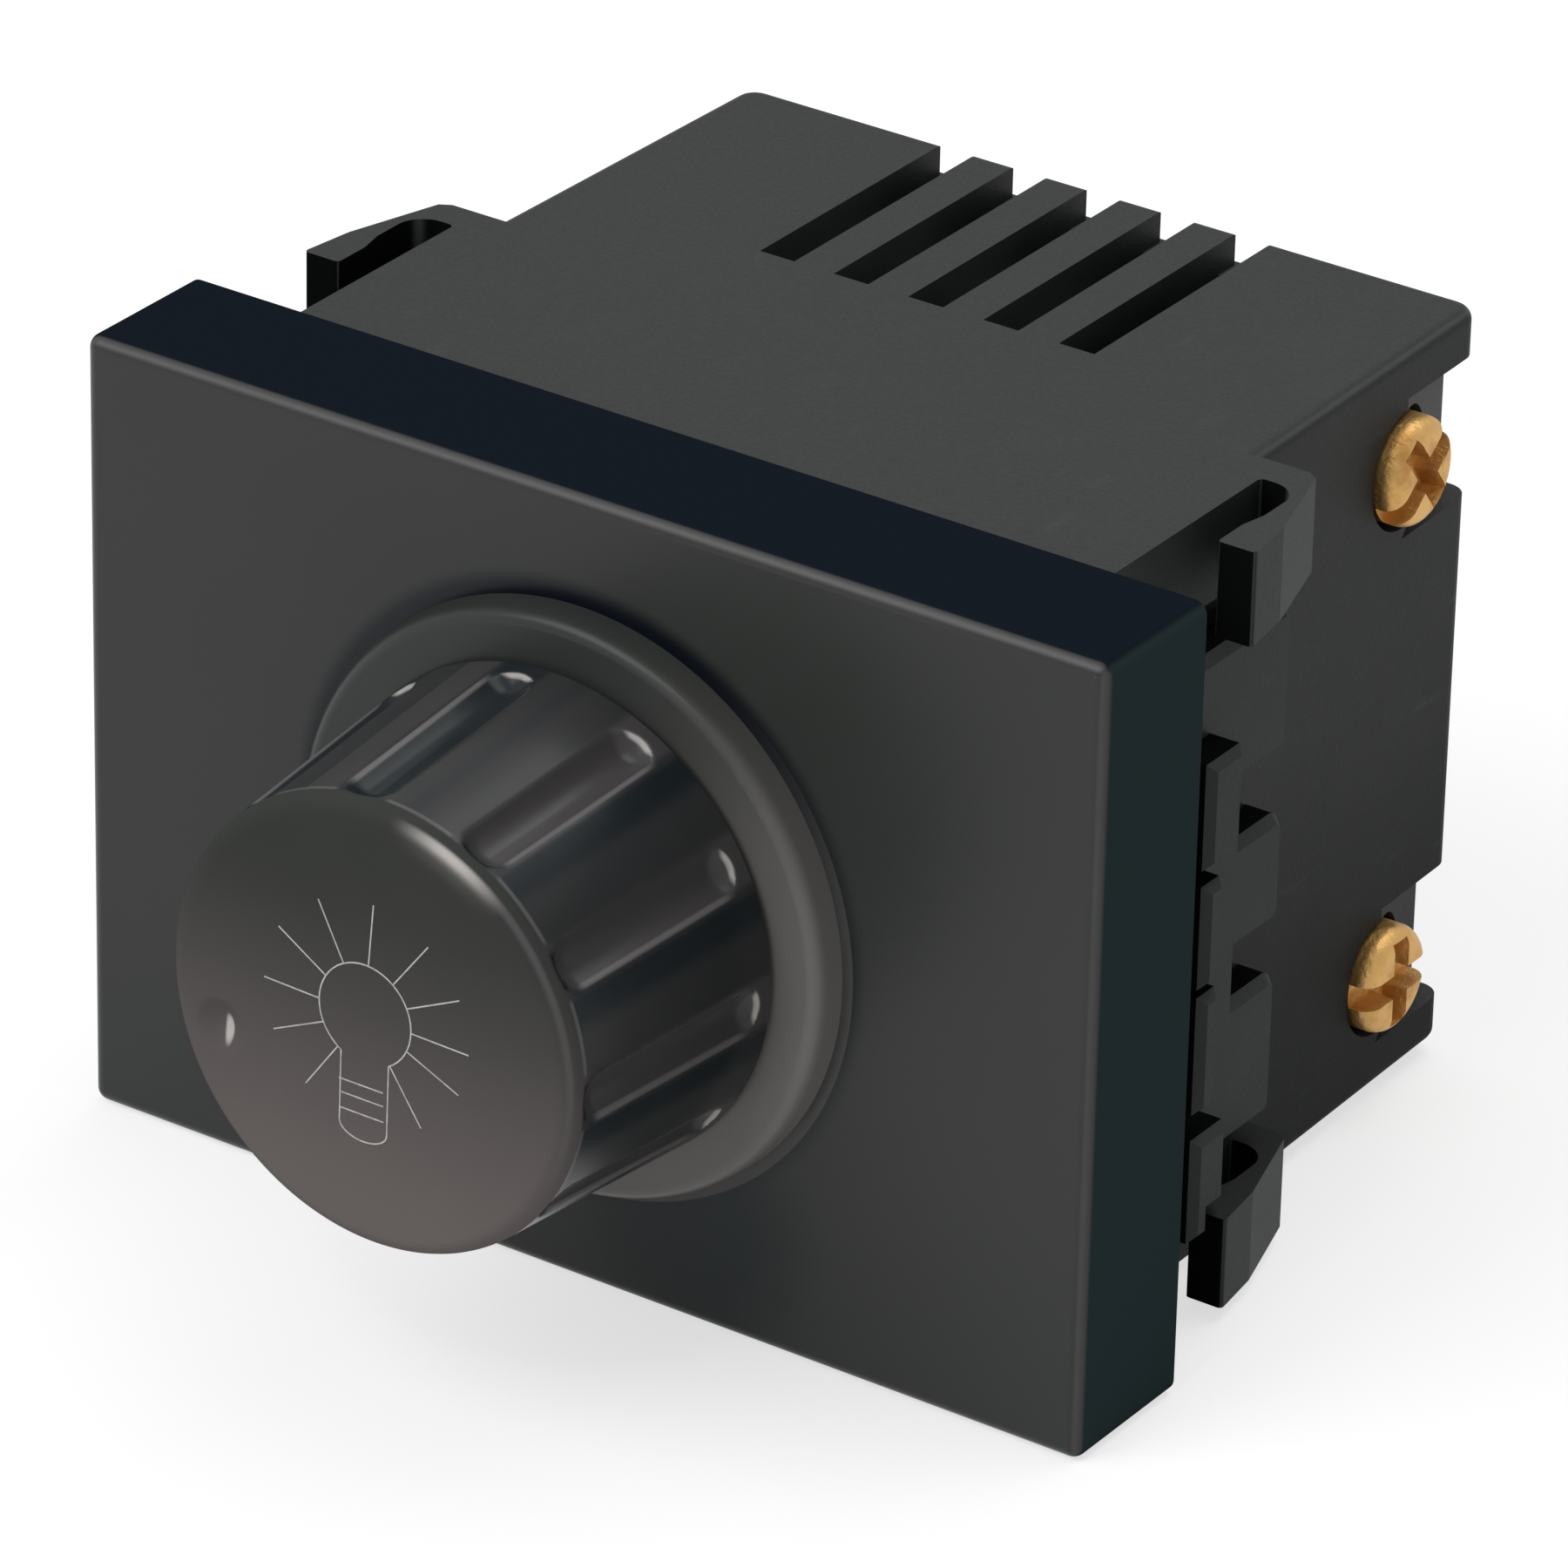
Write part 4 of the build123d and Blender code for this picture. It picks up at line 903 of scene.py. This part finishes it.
@dataclass
class Knob:
    """The knob with its soft-edged grooves, and the bulb sign on its domed face. Sizes in millimetres."""

    finish: KnobSatin = field(default_factory=KnobSatin)
    ink: PrintInk = field(default_factory=PrintInk)
    rear: float = -8.7
    rear_radius: float = 10.6
    face_front: float = -20.9
    face_radius: float = 9.65
    dome: float = 0.25
    rim: float = 0.8
    cup_rear: float = 9.1
    cup_front: float = 7.95
    cup_end: float = -19.0
    cup_margins: Span = (0.25, 0.05)
    groove_half: float = 1.08
    groove_depth: float = 0.55
    groove_ends: FlatPoint = (-10.4, -18.85)
    groove_lip: float = 0.06
    columns: int = 36
    flank_rows: int = 90
    rim_rows: int = 10
    face_rows: tuple[int, int, int] = (3, 22, 10)
    inner_radius: float = 0.6
    dimple_turn: float = 196.5
    dimple_reach: float = 7.4
    dimple_radius: float = 1.25
    dimple_depth: float = 0.4
    dimple_slope: float = 1.5
    stroke: float = 0.06
    lift: float = 0.02
    globe_middle: FlatPoint = (0.03, 0.75)
    globe_radius: float = 2.2
    globe_steps: int = 40
    cap_middle: float = -0.08
    cap_half: float = 1.14
    cap_bottom: float = -4.25
    cap_drop: float = 0.65
    cap_steps: int = 16
    band_levels: tuple[float, ...] = (-2.4, -3.0, -3.7)
    band_short: float = 0.16
    ray_turns: tuple[float, ...] = (-57.0, -25.0, -2.0, 25.0, 53.0, 86.0, 118.0, 149.0, 179.0, 205.0, 234.0)
    ray_inner: float = 2.2
    ray_outer: float = 4.9

    def build(self, nodes: Pieces) -> None:
        """Make the knob's body, dress it and print the sign on its face.

        Args:
            nodes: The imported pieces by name.
        """
        satin = dress(nodes, self.finish, "knob")
        piece = add_piece("knob_body", self._body(nodes["knob"]), satin)
        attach(piece, "knob")
        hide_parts("knob")
        mesh = bmesh.new()
        for line in self._lines():
            self._ribbon(mesh, line)
        bmesh.ops.recalc_face_normals(mesh, faces=mesh.faces)
        piece = add_piece("bulb_print", mesh, self.ink.build())
        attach(piece, "knob")

    def _body(self, node: bpy.types.Object) -> bmesh.types.BMesh:
        """Make the knob's body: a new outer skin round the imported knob's own cup, hub and ribs.

        Args:
            node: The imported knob.

        Returns:
            The body's mesh.
        """
        mesh = bmesh.new()
        mesh.from_mesh(node.data)
        outer = [face for face in mesh.faces if not all(self._within(vert.co / MM) for vert in face.verts)]
        bmesh.ops.delete(mesh, geom=outer, context="FACES")
        for face in mesh.faces:
            face.smooth = False
            face.material_index = 0
        total = self.finish.count * self.columns
        angles = [math.tau * column / total for column in range(total)]
        rings = [
            [mesh.verts.new(self._skin_point(radius, depth, angle)) for angle in angles]
            for radius, depth in self._profile()
        ]
        lip = [mesh.verts.new(vert.co) for vert in rings[0]]
        cup = []
        for angle in angles:
            corner = (self.cup_rear * math.cos(angle), self.rear, self.cup_rear * math.sin(angle))
            cup.append(mesh.verts.new(Vector(corner) * MM))
        for first, second in [(cup, lip), *zip(rings, rings[1:])]:
            for column in range(total):
                face = mesh.faces.new((first[column - 1], first[column], second[column], second[column - 1]))
                face.smooth = True
        middle = mesh.verts.new(Vector((0.0, self.face_front, 0.0)) * MM)
        for column in range(total):
            mesh.faces.new((rings[-1][column - 1], rings[-1][column], middle)).smooth = True
        return mesh

    def _within(self, place: Vector) -> bool:
        """Tell whether a place lies on the cup, the hub or the ribs.

        Args:
            place: The place in millimetres.

        Returns:
            Whether it does, with the margins across and along the cup.
        """
        share = (place.y - self.rear) / (self.cup_end - self.rear)
        cup = self.cup_rear + (self.cup_front - self.cup_rear) * share
        across, along = self.cup_margins
        return math.hypot(place.x, place.z) < cup + across and place.y > self.cup_end - along

    def _profile(self) -> list[FlatPoint]:
        """Rows of the outer skin, as a radius and a place along Y.

        Returns:
            The rows, from the rear edge over the rounded rim to near the middle of the face.
        """
        corner = self.face_front + self.dome
        lean = math.atan2(self.rear_radius - self.face_radius, self.rear - corner)
        tip = math.atan2(2 * self.dome, self.face_radius)
        spread = self.rim / math.cos(lean + tip)
        middle_radius = self.face_radius - spread * (math.cos(tip) - math.sin(lean))
        middle_depth = corner + spread * (math.cos(lean) - math.sin(tip))
        start_radius = middle_radius + self.rim * math.cos(lean)
        start_depth = middle_depth - self.rim * math.sin(lean)
        rows = []
        for step in range(self.flank_rows):
            share = step / self.flank_rows
            rows.append((
                self.rear_radius + (start_radius - self.rear_radius) * share,
                self.rear + (start_depth - self.rear) * share,
            ))
        for step in range(self.rim_rows + 1):
            angle = lean + (math.pi / 2 - tip - lean) * step / self.rim_rows
            out, forth = self.rim * math.cos(angle), self.rim * math.sin(angle)
            rows.append((middle_radius + out, middle_depth - forth))
        edge = rows[-1][0]
        near, far = self.dimple_reach - self.dimple_radius, self.dimple_reach + self.dimple_radius
        spans = ((edge, far), (far, near), (near, self.inner_radius))
        for (begin, end), steps in zip(spans, self.face_rows):
            for step in range(1, steps + 1):
                radius = begin + (end - begin) * step / steps
                rows.append((radius, self.face_front + self.dome * (radius / self.face_radius) ** 2))
        return rows

    def _skin_point(self, radius: float, depth: float, angle: float) -> Vector:
        """One point of the outer skin, with the grooves and the pointer dimple pressed in.

        Args:
            radius: The row's radius before the grooves.
            depth: The row's place along Y.
            angle: The column's angle in radians, counted from +X.

        Returns:
            The point in metres.
        """
        pitch = math.tau / self.finish.count
        offset = (angle - math.radians(self.finish.first) + pitch / 2) % pitch - pitch / 2
        rear, front = self.groove_ends
        beyond = max(depth - rear, front - depth, 0.0)
        flank = radius > self.face_radius - self.rim
        reach = math.hypot(offset * radius, beyond) / self.groove_half
        room = 1.0 - reach * reach
        soft_room = (room + math.hypot(room, self.groove_lip)) / 2
        groove = self.groove_depth * soft_room if flank else 0.0
        fade = min(max((radius - (self.face_radius - self.rim)) / self.rim, 0.0), 1.0)
        turn = math.radians(self.dimple_turn)
        away = math.hypot(
            radius * math.cos(angle) - self.dimple_reach * math.cos(turn),
            radius * math.sin(angle) - self.dimple_reach * math.sin(turn),
        )
        share = min(away / self.dimple_radius, 1.0)
        dimple = self.dimple_depth * (1 - share * share) ** self.dimple_slope if depth < front else 0.0
        bent = radius - groove * fade
        return Vector((bent * math.cos(angle), depth + dimple, bent * math.sin(angle))) * MM

    def _arc(self, middle: FlatPoint, radius: float, start: float, end: float, steps: int) -> list[FlatPoint]:
        """Points of an arc on the face.

        Args:
            middle: The arc's middle.
            radius: Its radius.
            start: Where it starts, in degrees counted from +X.
            end: Where it ends, in degrees.
            steps: Number of steps between the points.

        Returns:
            The points, from start to end.
        """
        points = []
        for step in range(steps + 1):
            angle = math.radians(start + (end - start) * step / steps)
            points.append((middle[0] + radius * math.cos(angle), middle[1] + radius * math.sin(angle)))
        return points

    def _lines(self) -> list[list[FlatPoint]]:
        """The sign's strokes as lines of flat points.

        Returns:
            The bulb's outline, the bands of its cap and its rays.
        """
        neck = math.degrees(math.asin(self.cap_half / self.globe_radius))
        globe = self._arc(self.globe_middle, self.globe_radius, neck - 90.0, 270.0 - neck, self.globe_steps)
        left, right = self.cap_middle - self.cap_half, self.cap_middle + self.cap_half
        cap = [
            (self.cap_middle + self.cap_half * point[0], self.cap_bottom + self.cap_drop * point[1])
            for point in self._arc((0.0, 0.0), 1.0, 180.0, 360.0, self.cap_steps)
        ]
        lines = [globe + cap + [globe[0]]]
        for level in self.band_levels:
            lines.append([(left, level), (right - self.band_short, level)])
        for turn in self.ray_turns:
            ends = (self.ray_inner, self.ray_outer)
            lines.append([self._arc(self.globe_middle, reach, turn, turn, 1)[0] for reach in ends])
        return lines

    def _on_face(self, point: FlatPoint, lift: float) -> Vector:
        """A flat point laid on the domed face, in metres."""
        reach = math.hypot(point[0], point[1]) / self.face_radius
        return Vector((point[0], self.face_front + self.dome * reach * reach - lift, point[1])) * MM

    def _ribbon(self, mesh: bmesh.types.BMesh, line: list[FlatPoint]) -> None:
        """Add one closed, flat stroke along a line.

        Args:
            mesh: The mesh that takes the stroke.
            line: The stroke's middle line.
        """
        rings = []
        for index, point in enumerate(line):
            before = Vector(line[max(index - 1, 0)])
            after = Vector(line[min(index + 1, len(line) - 1)])
            along = (after - before).normalized()
            across = Vector((-along.y, along.x)) * (self.stroke / 2)
            left, right = tuple(Vector(point) + across), tuple(Vector(point) - across)
            corners = ((left, self.lift), (right, self.lift), (right, -self.lift), (left, -self.lift))
            rings.append([mesh.verts.new(self._on_face(corner, lift)) for corner, lift in corners])
        for first, second in zip(rings, rings[1:]):
            for side in range(len(first)):
                mesh.faces.new((first[side], first[side - 1], second[side - 1], second[side]))
        mesh.faces.new(rings[0])
        mesh.faces.new(list(reversed(rings[-1])))


@dataclass
class Housing:
    """The moulded housing with its claws and combs."""

    finish: HousingMatte = field(default_factory=HousingMatte)

    def build(self, nodes: Pieces) -> None:
        """Dress the housing.

        Args:
            nodes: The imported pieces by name.
        """
        dress(nodes, self.finish, "housing")


@dataclass
class Terminals:
    """The brass terminals and their screws."""

    brass: Metal = Metal(
        "terminal_brass",
        linear(214, 172, 108),
        linear(166, 118, 62),
        roughness=0.5,
        grain_mm=0.35,
        depth_mm=0.05,
    )

    def build(self, nodes: Pieces) -> None:
        """Dress the terminals and the screws.

        Args:
            nodes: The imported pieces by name.
        """
        names = ("terminal_screw_upper", "terminal_screw_lower", "terminal_upper", "terminal_lower")
        dress(nodes, self.brass, *names)


@dataclass
class Potentiometer:
    """The potentiometer behind the plate."""

    die_cast: Metal = Metal("die_cast", linear(176, 177, 178), linear(140, 141, 143), roughness=0.45)
    nickel: Metal = Metal("nickel_plate", linear(196, 192, 184), linear(164, 160, 152), roughness=0.25)
    tin: Metal = Metal("tin_plate", linear(200, 200, 198), linear(168, 168, 168), roughness=0.38)
    bronze: Metal = Metal("spring_bronze", linear(201, 150, 90), linear(160, 112, 62), roughness=0.3)
    shaft: Moulded = Moulded("shaft_nylon", linear(226, 222, 210), linear(208, 203, 190))
    phenolic: Moulded = Moulded("phenolic", linear(128, 84, 44), linear(104, 66, 34), roughness=0.45)

    def build(self, nodes: Pieces) -> None:
        """Dress the potentiometer's pieces.

        Args:
            nodes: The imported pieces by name.
        """
        dress(nodes, self.tin, "pot_cover", "pot_lugs")
        dress(nodes, self.nickel, "pot_nut", "pot_washer")
        dress(nodes, self.die_cast, "pot_bushing")
        dress(nodes, self.bronze, "pot_wiper")
        dress(nodes, self.shaft, "pot_shaft")
        dress(nodes, self.phenolic, "pot_wafer")


@dataclass
class Board:
    """The circuit board with its small parts."""

    laminate: Moulded = Moulded(
        "board_laminate", linear(178, 146, 92), linear(156, 124, 74), roughness=0.5, grain_mm=0.12
    )
    zinc: Metal = Metal("zinc_plate", linear(178, 178, 172), linear(150, 150, 140))
    film: Moulded = Moulded("film_box", linear(206, 170, 52), linear(188, 152, 42), roughness=0.35)
    small_box: Moulded = Moulded("small_box", linear(70, 108, 152), linear(58, 92, 134), roughness=0.35)
    core: Moulded = Moulded("ring_core", linear(196, 178, 70), linear(172, 154, 56))
    copper: Metal = Metal("enamelled_copper", linear(196, 104, 58), linear(160, 78, 40), roughness=0.28)
    diac: Banded = Banded(
        "diac_glass",
        linear(62, 98, 150),
        (linear(24, 26, 30),),
        BandAxis.UPRIGHT,
        middle=-6.3,
        half_length=1.6,
        band_width=0.5,
        first_band=-1.0,
    )
    timing: Banded = Banded(
        "timing_resistor_bands",
        linear(196, 172, 128),
        (linear(140, 70, 34), linear(22, 22, 22), linear(214, 168, 40), linear(176, 142, 60)),
        BandAxis.ACROSS,
        middle=8.3,
        half_length=3.15,
    )
    snubber: Banded = Banded(
        "snubber_resistor_bands",
        linear(196, 172, 128),
        (linear(176, 40, 30), linear(176, 40, 30), linear(140, 70, 34), linear(176, 142, 60)),
        BandAxis.ACROSS,
        middle=-8.2,
        half_length=3.15,
    )

    def build(self, nodes: Pieces) -> None:
        """Dress the board and what stands on it.

        Args:
            nodes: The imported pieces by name.
        """
        dress(nodes, self.laminate, "circuit_board")
        dress(nodes, self.zinc, "board_screws")
        dress(nodes, self.film, "filter_capacitor")
        dress(nodes, self.small_box, "timing_capacitor")
        dress(nodes, self.core, "choke_core")
        dress(nodes, self.copper, "choke_winding")
        dress(nodes, self.diac, "diac")
        dress(nodes, self.timing, "timing_resistor")
        dress(nodes, self.snubber, "snubber_resistor")


@dataclass
class PowerSwitch:
    """The triac, its rivet and the heat sink."""

    epoxy: Moulded = Moulded(
        "epoxy",
        linear(36, 36, 38),
        linear(46, 46, 48),
        roughness=0.5,
        grain_mm=0.1,
        depth_mm=0.008,
        gloss=0.3,
    )
    tab: Metal = Metal("tinned_copper", linear(190, 184, 174), linear(162, 150, 134))
    aluminium: Metal = Metal("sheet_aluminium", linear(186, 188, 190), linear(160, 162, 166), roughness=0.4)

    def build(self, nodes: Pieces) -> None:
        """Dress the power switch.

        Args:
            nodes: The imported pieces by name.
        """
        dress(nodes, self.aluminium, "triac_rivet", "heat_sink")
        dress(nodes, self.epoxy, "triac_body")
        dress(nodes, self.tab, "triac_leadframe")


@dataclass
class Fuse:
    """The glass fuse and its clips."""

    glass: Glass = field(default_factory=Glass)
    nickel: Metal = Metal("fuse_nickel", linear(200, 198, 192), linear(172, 168, 160), roughness=0.22)

    def build(self, nodes: Pieces) -> None:
        """Dress the fuse.

        Args:
            nodes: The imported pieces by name.
        """
        dress(nodes, self.nickel, "fuse_caps", "fuse_clips")
        dress(nodes, self.glass, "fuse_tube")


@dataclass(frozen=True)
class Lamp:
    """A square soft lamp. Places in metres."""

    name: str
    place: Point
    target: Point
    size: float
    power: float
    colour: Colour = (1.0, 1.0, 1.0)

    def build(self) -> None:
        """Hang the lamp and aim it."""
        data = bpy.data.lights.new(self.name, "AREA")
        data.shape = "SQUARE"
        data.size = self.size
        data.energy = self.power
        data.color = self.colour
        lamp = bpy.data.objects.new(self.name, data)
        bpy.context.scene.collection.objects.link(lamp)
        lamp.location = self.place
        lamp.rotation_euler = (Vector(self.target) - Vector(self.place)).to_track_quat("-Z", "Y").to_euler()


@dataclass
class Studio:
    """Pale floor, plain light and the camera. Places in metres."""

    floor_half: float = 3.0
    floor_gap: float = 0.00005
    floor_albedo: float = 0.8
    floor_seen_albedo: float = 0.42
    floor_glow: float = 0.66
    world_light: float = 0.45
    eye: Point = (0.21386, -0.30878, 0.19881)
    forward: Point = (-0.49614, 0.73394, -0.46388)
    up: Point = (-0.27871, 0.37137, 0.88567)
    lens: float = 244.04
    sensor: float = 36.0
    clip: Span = (0.01, 20.0)
    lamps: tuple[Lamp, ...] = (
        Lamp("key", (-0.25, -0.45, 0.55), (0.0, 0.01, 0.0), 0.5, 2.8),
        Lamp("top", (0.05, 0.2, 0.6), (0.0, 0.01, 0.0), 0.45, 1.4),
        Lamp("spark", (0.07, -0.5, 0.6), (0.0, -0.02, 0.0), 0.07, 0.35),
    )

    def build(self, lowest: float) -> None:
        """Make the floor, the world, the lamps and the camera.

        Args:
            lowest: The object's lowest level in metres.
        """
        self._floor(lowest - self.floor_gap)
        self._world()
        for lamp in self.lamps:
            lamp.build()
        self._camera()

    def _floor(self, level: float) -> None:
        """Lay the floor.

        Args:
            level: Its height in metres.
        """
        tree = Tree("floor_pale")
        plain = tree.node("BsdfDiffuse", inputs={"Color": (self.floor_albedo,) * 3}).outputs[0]
        dim = tree.node("BsdfDiffuse", inputs={"Color": (self.floor_seen_albedo,) * 3}).outputs[0]
        glow = tree.node("Emission", inputs={"Strength": self.floor_glow}).outputs[0]
        both = tree.node("AddShader", inputs={0: dim, 1: glow}).outputs[0]
        mesh = bmesh.new()
        bmesh.ops.create_grid(mesh, x_segments=1, y_segments=1, size=self.floor_half)
        floor = add_piece("floor", mesh, tree.finish(tree.mix_shaders(tree.seen(), plain, both)))
        floor.location.z = level
        floor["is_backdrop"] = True

    def _world(self) -> None:
        """Light the scene from all round and show white behind it."""
        world = bpy.data.worlds.new("studio")
        bpy.context.scene.world = world
        world.use_nodes = True
        nodes = Nodes(world.node_tree)
        spread = nodes.node("MapRange", inputs={"Value": nodes.seen(), "To Min": self.world_light})
        back = nodes.node("Background", inputs={"Strength": spread.outputs[0]})
        nodes.node("OutputWorld", inputs={"Surface": back.outputs[0]})

    def _camera(self) -> None:
        """Stand the camera where the photograph was taken from."""
        data = bpy.data.cameras.new("camera")
        data.lens = self.lens
        data.sensor_width = self.sensor
        data.clip_start, data.clip_end = self.clip
        camera = bpy.data.objects.new("camera", data)
        bpy.context.scene.collection.objects.link(camera)
        forward, up = Vector(self.forward).normalized(), Vector(self.up).normalized()
        right = forward.cross(up).normalized()
        up = right.cross(forward)
        turn = Matrix((right, up, -forward)).transposed()
        camera.matrix_world = Matrix.Translation(self.eye) @ turn.to_4x4()
        bpy.context.scene.camera = camera
        bpy.context.scene.view_settings.view_transform = "Standard"


def main() -> None:
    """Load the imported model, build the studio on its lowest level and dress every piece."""
    logging.basicConfig(level=logging.INFO, format="%(message)s")
    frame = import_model()
    cad_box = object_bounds()
    nodes = frame["nodes"]
    Studio().build(cad_box[0][2])
    for assembly in (
        FrontPlate(), Knob(), Housing(), Terminals(), Potentiometer(), Board(), PowerSwitch(), Fuse()
    ):
        assembly.build(nodes)
        LOG.info("built %s", type(assembly).__name__)


if __name__ == "__main__":
    main()
